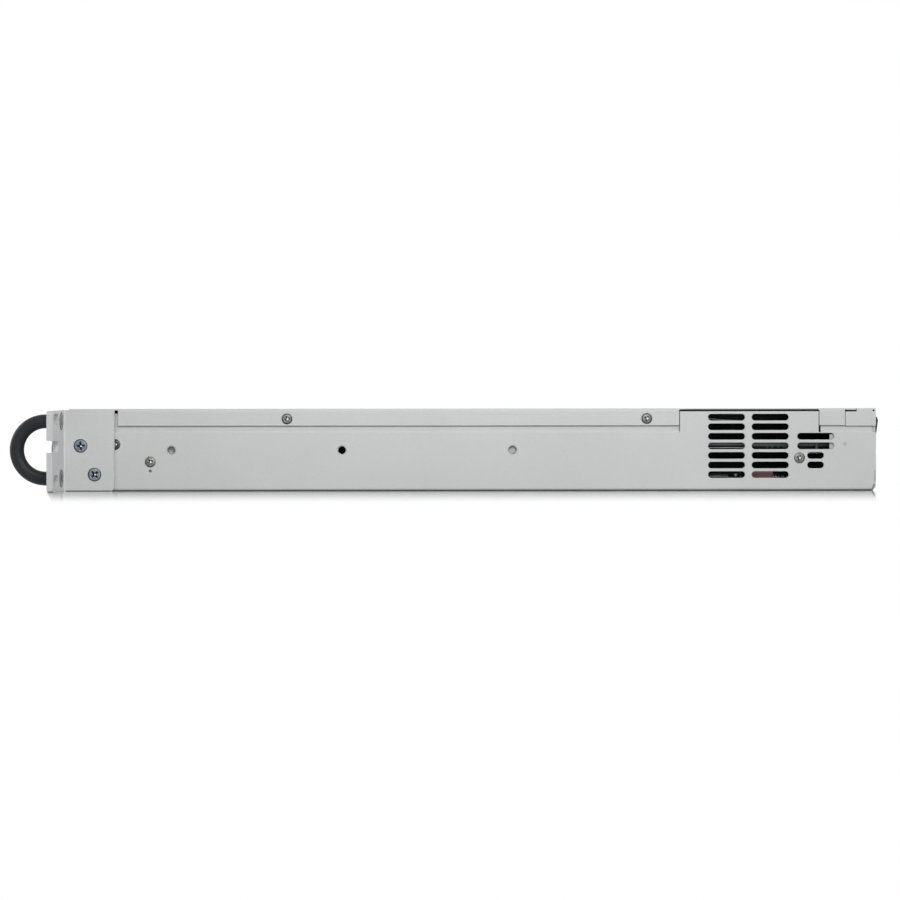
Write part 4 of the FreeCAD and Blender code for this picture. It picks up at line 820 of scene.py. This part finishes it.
def make_board_parts():
    form = bmesh.new()
    for back, pins in CHIPS:
        add_chip(form, ear_front + back * MM, pins)
    add_can(form, ear_front + SMALL_CAN_BACK * MM, radius=1.1 * MM, height=1.8 * MM)
    for back in RESISTORS_BACK:
        add_resistor(form, ear_front + back * MM)
    add_piece("board_parts", form, "case", "board", chip_resin, tinned, can_metal)


# Fittings on the heat sinks
FILM_SPOTS = ((128.5, 38.5), (137.0, 37.6), (147.0, 37.0))
FIN_MARKS = ((160.8, 162.2), (163.2, 165.0), (166.7, 168.1), (169.8, 171.9))
FIN_MARKS_UP = 23.0 * MM


def make_sink_clip():
    """A spring clip across the fins, with a hook that reaches inward."""
    along = ear_front + 405.2 * MM
    width = 1.7 * MM
    sheet = 0.7 * MM
    edge = 0.2 * MM
    leg_height = 6.2 * MM
    leg_middle = (fin_face + 0.5 * MM, along, 24.2 * MM)
    hook_length = 5.0 * MM
    hook_middle = (fin_face - 2.0 * MM, along, 27.0 * MM)
    form = bmesh.new()
    add_block(form, leg_middle, (sheet, width, leg_height), edge)
    add_block(form, hook_middle, (hook_length, width, sheet), edge)
    add_piece("sink_clip", form, "case", "heat_sink", clip_metal)


def make_fin_shade_strip():
    """Painted shade: a dark strip over the fins where shade falls between them, with a painted highlight
    along its front part.
    """
    low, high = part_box("output_heatsink")
    highlight_end = 152 * MM
    highlight_up = 22.6 * MM
    highlight_depth = 0.4 * MM
    highlight_height = 0.55 * MM
    highlight_slot = 1
    foot = 21.2 * MM
    edge = 0.1 * MM
    form = bmesh.new()
    for start, end, top in ((low.y, highlight_end, 23.8 * MM), (highlight_end, high.y, 23.4 * MM)):
        middle = (fin_face + FIN_SHADE_STRIP / 2, (start + end) / 2, (foot + top) / 2)
        add_block(form, middle, (FIN_SHADE_STRIP, end - start, top - foot), edge)
    highlight_middle = (fin_face + FIN_SHADE_STRIP + highlight_depth / 2, (low.y + highlight_end) / 2, highlight_up)
    add_block(form, highlight_middle, (highlight_depth, highlight_end - low.y, highlight_height), edge, material=highlight_slot)
    add_piece("fin_shade_strip", form, "case", "heat_sink", recess_shade, film_and_painted_highlight)


def make_sink_film():
    """A narrow strip of film on the fins, and a row of marks on the strip of painted shade."""
    film_slot = 1
    form = bmesh.new()
    face = plane((fin_face, 0, 0), BACK, UP)
    film = [Vector(spot) * MM for spot in FILM_SPOTS]
    add_strokes(form, face, zip(film, film[1:]), width=0.65 * MM, material=film_slot)
    strip_face = plane((fin_face + FIN_SHADE_STRIP, 0, 0), BACK, UP)
    marks = [((start * MM, FIN_MARKS_UP), (end * MM, FIN_MARKS_UP)) for start, end in FIN_MARKS]
    add_strokes(form, strip_face, marks, width=0.45 * MM)
    add_piece("sink_film", form, "case", "heat_sink", sink_edge, film_and_painted_highlight)


def make_sink_pad():
    """A slate pad below the clip."""
    middle = (fin_face - 1.6 * MM, ear_front + 402 * MM, 20.4 * MM)
    size = (3.0 * MM, 12.0 * MM, 1.9 * MM)
    form = bmesh.new()
    add_block(form, middle, size, edge=0.3 * MM)
    add_piece("sink_strip", form, "case", "heat_sink", slate_pad)


def make_insulation():
    """Dark sheets that stand behind the heat sinks, ribbed along their ends."""
    headroom = 1.3 * MM
    height = case_top - headroom - board_top
    up = board_top + height / 2
    sheet = 0.5 * MM
    behind = 1.5 * MM
    rib_in = 1.0 * MM
    rib_size = (0.8 * MM, 2.0 * MM, height)
    form = bmesh.new()
    for node, side in (("output_heatsink", 1), ("input_heatsink", -1)):
        low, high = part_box(node)
        across = side * (min(abs(low.x), abs(high.x)) - behind)
        add_block(form, (across, (low.y + high.y) / 2, up), (sheet, high.y - low.y, height), edge=0.1 * MM)
        for end in (low.y + rib_in, high.y - rib_in):
            add_block(form, (across - side * sheet, end, up), rib_size, edge=0.2 * MM)
    add_piece("insulation_sheets", form, "case", "black_plastic", black_plastic)


# Holes and edges of the case: spots of the holes, and (radius, height) sections in millimetres
SLIDE_HOLES = ((59.3, 21.5, 0), (150.0, 21.5, 0), (240.7, 21.5, 0))
PIN_HOLES = ((48.2, 10.5, 0),)
RIM_SECTION = ((2.57, -0.02), (2.57, -0.34), (2.07, -0.34))
CAP_SECTION = ((0.4, 0), (1.6, 0), (2.0, -0.2), (2.0, -0.8))
PLUG_SECTION = ((0.2, -0.25), (0.5, -0.25), (0.78, -0.45), (0.78, -1.0))
FRONT_CAP_SUNK = 3.3 * MM
REAR_CAP_SUNK = 1.9 * MM


def make_hole_liners():
    """Pressed rims in the slide holes, caps in the outer ones, and dark plugs that paint shade into the pin
    holes.
    """
    cap_slot, plug_slot = 1, 2
    rim = [(radius * MM, height * MM) for radius, height in RIM_SECTION]
    cap = [(radius * MM, height * MM, cap_slot) for radius, height in CAP_SECTION]
    plug = [(radius * MM, height * MM, plug_slot) for radius, height in PLUG_SECTION]
    form = bmesh.new()
    for place in side_places(side_face, SLIDE_HOLES):
        add_rim(form, place, rim)
    for spot, sunk in ((SLIDE_HOLES[0], FRONT_CAP_SUNK), (SLIDE_HOLES[-1], REAR_CAP_SUNK)):
        for place in side_places(side_face - sunk, (spot,)):
            add_turned(form, place, cap)
    for place in side_places(side_face, PIN_HOLES):
        add_turned(form, place, plug, segments=24)
    add_piece("hole_liners", form, "case", "case_paint", case_paint, nut_grey, edge_and_hole_painted_shade)


def make_shade_lines():
    """Painted shade: a dark strip in the gap over each vented wall, and a dark line along the lower edge of
    each ear's plate where shade falls against the floor.
    """
    plate_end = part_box("rack_ear_right")[1].y
    gap_shade_front = ear_front + 329.9 * MM
    gap_shade_rear = ear_front + 403.2 * MM
    gap_shade_middle = (gap_shade_front + gap_shade_rear) / 2
    gap_shade_up = 42.7 * MM
    gap_shade_in = 0.45 * MM
    gap_shade_size = (0.88 * MM, gap_shade_rear - gap_shade_front, 0.65 * MM)
    line_up = 0.13 * MM
    form = bmesh.new()
    for side in SIDES:
        across = side * (side_face - gap_shade_in)
        add_block(form, (across, gap_shade_middle, gap_shade_up), gap_shade_size, edge=0.05 * MM)
        face = plane((side * plate_face, 0, 0), (0, side, 0), UP)
        start = (side * (ear_back + 1.0 * MM), line_up)
        end = (side * (plate_end - 1.5 * MM), line_up)
        add_stroke(form, face, start, end, width=0.24 * MM, depth=0.03 * MM)
    add_piece("shade_lines", form, "case", "black_plastic", recess_shade)


def make_bevel_shade_lines():
    """Painted shade along the rear edges of both walls and their bevelled foot: a dark line in the bevel
    and a grey one up the edge.
    """
    bevel_lines = bmesh.new()
    edge_lines = bmesh.new()
    for side in SIDES:
        face = plane((side * side_face, rear_face, 0), (0, side, 0), UP)
        foot = Vector((-1.85 * side, 0.5)) * MM
        head = Vector((-0.85 * side, 3.4)) * MM
        add_stroke(bevel_lines, face, foot, head, width=0.75 * MM)
        edge = -0.6 * side * MM
        add_stroke(edge_lines, face, (edge, 4.7 * MM), (edge, 10.9 * MM), width=0.5 * MM)
    add_piece("bevel_shade_lines", bevel_lines, "case", "case_paint", edge_and_hole_painted_shade)
    add_piece("rear_edge_painted_shades", edge_lines, "case", "case_paint", rear_edge_painted_shade)


make_board_parts()
make_sink_clip()
make_fin_shade_strip()
make_sink_film()
make_sink_pad()
make_insulation()
make_hole_liners()
make_shade_lines()
make_bevel_shade_lines()


# Front: unlit digits, dial marks and switch marks, with a digit's segments by (column, row) ends
SEGMENTS = (((0, 2), (1, 2)), ((0, 1), (1, 1)), ((0, 0), (1, 0)), ((0, 1), (0, 2)), ((1, 1), (1, 2)),
            ((0, 0), (0, 1)), ((1, 0), (1, 1)))
DIGITS = 4


def make_digits(name, node):
    """Four unlit seven-segment digits with their points, on a display's face."""
    low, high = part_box(node)
    face = plane((0, low.y, 0), FRONT_RIGHT, UP)
    width = 4.6 * MM
    tall = 4.8 * MM
    lean = 0.6 * MM
    gap = 0.35 * MM
    stroke = 1.1 * MM
    point_height = 1.1 * MM
    point_aside = 1.5 * MM
    point_drop = 0.3 * MM
    pitch = (high.x - low.x) / DIGITS
    foot = (low.z + high.z) / 2 - tall

    def corner(left, column, row):
        return Vector((left + width * column + lean * row, foot + tall * row))

    form = bmesh.new()
    for digit in range(DIGITS):
        left = low.x + pitch * (digit + 0.5) - width / 2 - lean
        for one, other in SEGMENTS:
            start = corner(left, *one)
            end = corner(left, *other)
            trim = (end - start).normalized() * gap
            add_stroke(form, face, start + trim, end - trim, stroke)
        point = Vector((left + width + point_aside, foot - point_drop))
        add_stroke(form, face, point, point + Vector((0, point_height)), width=1.0 * MM)
    add_piece(name, form, "case", "display", segment_resin)


def letter_lines(letter, across, up, size):
    """Strokes of a plain letter or sign about its foot's middle."""
    half = size * 0.36
    bar = half * 0.55
    bar_up = size * 0.36
    middle = size / 2
    shapes = {
        "V": (((-half, size), (0, 0)), ((0, 0), (half, size))),
        "A": (((-half, 0), (0, size)), ((0, size), (half, 0)), ((-bar, bar_up), (bar, bar_up))),
        "+": (((-half, middle), (half, middle)), ((0, middle - half), (0, middle + half))),
        "-": (((-half, middle), (half, middle)),),
    }
    return [[(across + aside, up + rise) for aside, rise in line] for line in shapes[letter]]


def add_dial_ticks(form, face, knob):
    """A scale of ticks round a dial, open at the top where its lamp is."""
    low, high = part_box(knob)
    middle = Vector((middle_across(knob), middle_up))
    inner = (high.x - low.x) / 2 + 1.2 * MM
    outer = (high.x - low.x) / 2 + 2.6 * MM
    ticks = 11
    first_angle = 225
    step = 27
    for tick in range(ticks):
        out = Vector(polar(1.0, math.radians(first_angle - step * tick)))
        at_lamp = abs(out.x) < 0.2 and out.y > 0
        if not at_lamp:
            add_stroke(form, face, middle + out * inner, middle + out * outer, width=0.4 * MM)


def make_front_marks():
    """Unit letters above the displays and the dials' scales."""
    form = bmesh.new()
    face = plane((0, bezel_face, 0), FRONT_RIGHT, UP)
    letters_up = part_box("display_window")[1].z + 1.8 * MM
    for letter, node in (("V", "voltage_display"), ("A", "current_display")):
        lines = letter_lines(letter, middle_across(node), letters_up, size=3.2 * MM)
        add_strokes(form, face, lines, width=0.5 * MM)
    for knob in ("voltage_knob", "current_knob"):
        add_dial_ticks(form, face, knob)
    add_piece("front_marks", form, "case", "bezel", dark_ink)


def make_knob_pointer(name, node, body):
    knob_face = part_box(node)[0].y
    form = bmesh.new()
    face = plane((middle_across(node), knob_face, middle_up), FRONT_RIGHT, UP)
    add_stroke(form, face, (0, 2.2 * MM), (0, 6.0 * MM), width=0.9 * MM)
    add_piece(name, form, body, "black_plastic", white_ink)


def make_rocker_marks():
    """A bar and a ring on the two slopes of the rocker."""
    pivot = Vector(joints["power_rocker_tilt"]["pos_m"])
    rest_tilt = math.radians(8.0)
    rest = Matrix.Translation(pivot) @ Matrix.Rotation(rest_tilt, 4, "X")
    rise = 3.9 * MM
    run = 1.3 * MM
    slope_out = -3.1 * MM - run / 2
    bar = 1.3 * MM
    ring = 1.2 * MM
    corners = 10
    form = bmesh.new()
    upper = rest @ plane((0, slope_out, rise * 1.5), FRONT_RIGHT, (0, -run, rise))
    add_stroke(form, upper, (0, -bar), (0, bar), width=0.5 * MM)
    lower = rest @ plane((0, slope_out, -rise * 1.5), FRONT_RIGHT, (0, run, rise))
    spots = [polar(ring, 2 * math.pi * i / corners) for i in range(corners + 1)]
    add_strokes(form, lower, zip(spots, spots[1:]), width=0.42 * MM)
    add_piece("rocker_marks", form, "rocker", "black_plastic", white_ink)


make_digits("voltage_digits", "voltage_display")
make_digits("current_digits", "current_display")
make_front_marks()
make_knob_pointer("voltage_pointer", "voltage_knob", "voltage_control")
make_knob_pointer("current_pointer", "current_knob", "current_control")
make_rocker_marks()


# Rear: signs beside the output bars
def make_rear_marks():
    form = bmesh.new()
    insulator_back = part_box("bar_insulator")[1]
    face = plane((0, insulator_back.y, 0), REAR_RIGHT, UP)
    aside = 4.6 * MM
    foot = middle_up - 1.5 * MM
    for sign, node in (("+", "output_bar_positive"), ("-", "output_bar_negative")):
        lines = letter_lines(sign, -middle_across(node) - aside, foot, size=3.0 * MM)
        add_strokes(form, face, lines, width=0.6 * MM)
    add_piece("rear_marks", form, "case", "black_plastic", white_ink)


make_rear_marks()


# Stage: a pale floor that turns white away from the part, and soft studio light
WHITE = (1, 1, 1, 1)
PAPER = (0.6, 0.6, 0.6, 1)


def background_rays(tree):
    """One for rays that look at the background straight, in a gloss or through glass."""
    path = tree.nodes.new("ShaderNodeLightPath")
    total = path.outputs["Is Camera Ray"]
    for name in ("Is Glossy Ray", "Is Transmission Ray"):
        both = tree.nodes.new("ShaderNodeMath")
        both.operation = "MAXIMUM"
        tree.links.new(total, both.inputs[0])
        tree.links.new(path.outputs[name], both.inputs[1])
        total = both.outputs[0]
    return total


def make_world(level):
    """White where it is looked at, and an even light of its own level."""
    world = bpy.data.worlds.new("studio")
    bpy.context.scene.world = world
    world.use_nodes = True
    tree = world.node_tree
    light = tree.nodes["Background"]
    light.inputs["Color"].default_value = WHITE
    light.inputs["Strength"].default_value = level
    white = tree.nodes.new("ShaderNodeBackground")
    white.inputs["Color"].default_value = WHITE
    mix = tree.nodes.new("ShaderNodeMixShader")
    tree.links.new(background_rays(tree), mix.inputs[0])
    tree.links.new(light.outputs[0], mix.inputs[1])
    tree.links.new(white.outputs[0], mix.inputs[2])
    tree.links.new(mix.outputs[0], tree.nodes["World Output"].inputs["Surface"])


def floor_distance(paper):
    """Distance aside from the case, which grows fast past the ends of its shadow."""
    middle_ahead = 3.5 * MM
    shadow_end = rear_face + 3.4 * MM
    taper = 0.238
    end_zone = 1.0 * MM
    end_growth = 100.0
    spot = paper.node("ShaderNodeSeparateXYZ", Vector=paper.place).outputs
    past_side = paper.figure("SUBTRACT", paper.figure("ABSOLUTE", spot["X"]), side_face)
    aside = paper.figure("MAXIMUM", past_side, 0.0)
    along = paper.figure("ABSOLUTE", paper.figure("ADD", spot["Y"], middle_ahead))
    past_end = paper.figure("SUBTRACT", along, shadow_end)
    tapered = paper.figure("MULTIPLY_ADD", aside, taper, past_end)
    ends = paper.figure("MAXIMUM", tapered, -end_zone)
    return paper.figure("MULTIPLY_ADD", paper.figure("ADD", ends, end_zone), end_growth, aside)


def floor_paper(near, far):
    """Pale paper that shows light and shadow near the part and is plain white further out."""
    paper = Finish("floor_paper", Base_Color=PAPER, Roughness=0.05, Specular_IOR_Level=0.5)
    away = floor_distance(paper)
    fade = paper.node("ShaderNodeMapRange", {"interpolation_type": "SMOOTHSTEP"}, Value=away,
                      From_Min=near, From_Max=far).outputs["Result"]
    seen = paper.figure("MULTIPLY", fade, background_rays(paper.material.node_tree))
    white = paper.node("ShaderNodeEmission", Strength=1.0)
    mix = paper.node("ShaderNodeMixShader")
    paper.links.new(seen, mix.inputs[0])
    paper.links.new(paper.shader.outputs[0], mix.inputs[1])
    paper.links.new(white.outputs[0], mix.inputs[2])
    paper.links.new(mix.outputs[0], paper.nodes["Material Output"].inputs["Surface"])
    return paper.material


def make_floor(radius, near, far, drop):
    """A round sheet of paper just under the part."""
    mesh = bpy.data.meshes.new("floor")
    form = bmesh.new()
    bmesh.ops.create_circle(form, cap_ends=True, segments=96, radius=radius)
    form.to_mesh(mesh)
    form.free()
    floor = bpy.data.objects.new("floor", mesh)
    bpy.context.scene.collection.objects.link(floor)
    floor.location.z = -drop
    mesh.materials.append(floor_paper(near, far))


def make_softbox(name, place, target, width, height, power):
    data = bpy.data.lights.new(name, "AREA")
    data.shape = "RECTANGLE"
    data.size = width
    data.size_y = height
    data.energy = power
    lamp = bpy.data.objects.new(name, data)
    bpy.context.scene.collection.objects.link(lamp)
    lamp.location = place
    lamp.rotation_mode = "QUATERNION"
    lamp.rotation_quaternion = (Vector(target) - Vector(place)).to_track_quat("-Z", "Y")


make_world(level=0.3)
make_floor(radius=6.0, near=40 * MM, far=230 * MM, drop=0.05 * MM)
make_softbox("key", place=(0.73, 0.03, 0.40), target=(0.2, 0.02, 0.02), width=0.35, height=0.25, power=2.75)
make_softbox("fill", place=(1.0, 1.5, 0.8), target=(0.2, -0.1, 0.02), width=0.8, height=0.6, power=6)
make_softbox("back", place=(-1.9, 0.0, 1.0), target=(0.2, 0, 0.0), width=2.6, height=1.3, power=25)
make_softbox("front", place=(-0.5, -2.0, 0.7), target=(0, 0, 0.02), width=1.4, height=0.9, power=10)
make_softbox("rear", place=(-0.5, 2.0, 0.7), target=(0, 0, 0.02), width=1.4, height=0.9, power=5)


# Camera: level with the case, square to its right side, with its roll in degrees
CAMERA_DISTANCE = 0.925
CAMERA_ALONG = -9.4 * MM
CAMERA_UP = 21.53 * MM
CAMERA_LENS = 69.64
CAMERA_ROLL = 0.063
CAMERA_NEAR = 0.01


def make_camera():
    data = bpy.data.cameras.new("camera")
    data.lens = CAMERA_LENS
    data.clip_start = CAMERA_NEAR
    camera = bpy.data.objects.new("camera", data)
    bpy.context.scene.collection.objects.link(camera)
    camera.location = (side_face + CAMERA_DISTANCE, CAMERA_ALONG, CAMERA_UP)
    camera.rotation_euler = (math.radians(90), math.radians(CAMERA_ROLL), math.radians(90))
    bpy.context.scene.camera = camera


make_camera()
bpy.context.scene.view_settings.view_transform = "Standard"
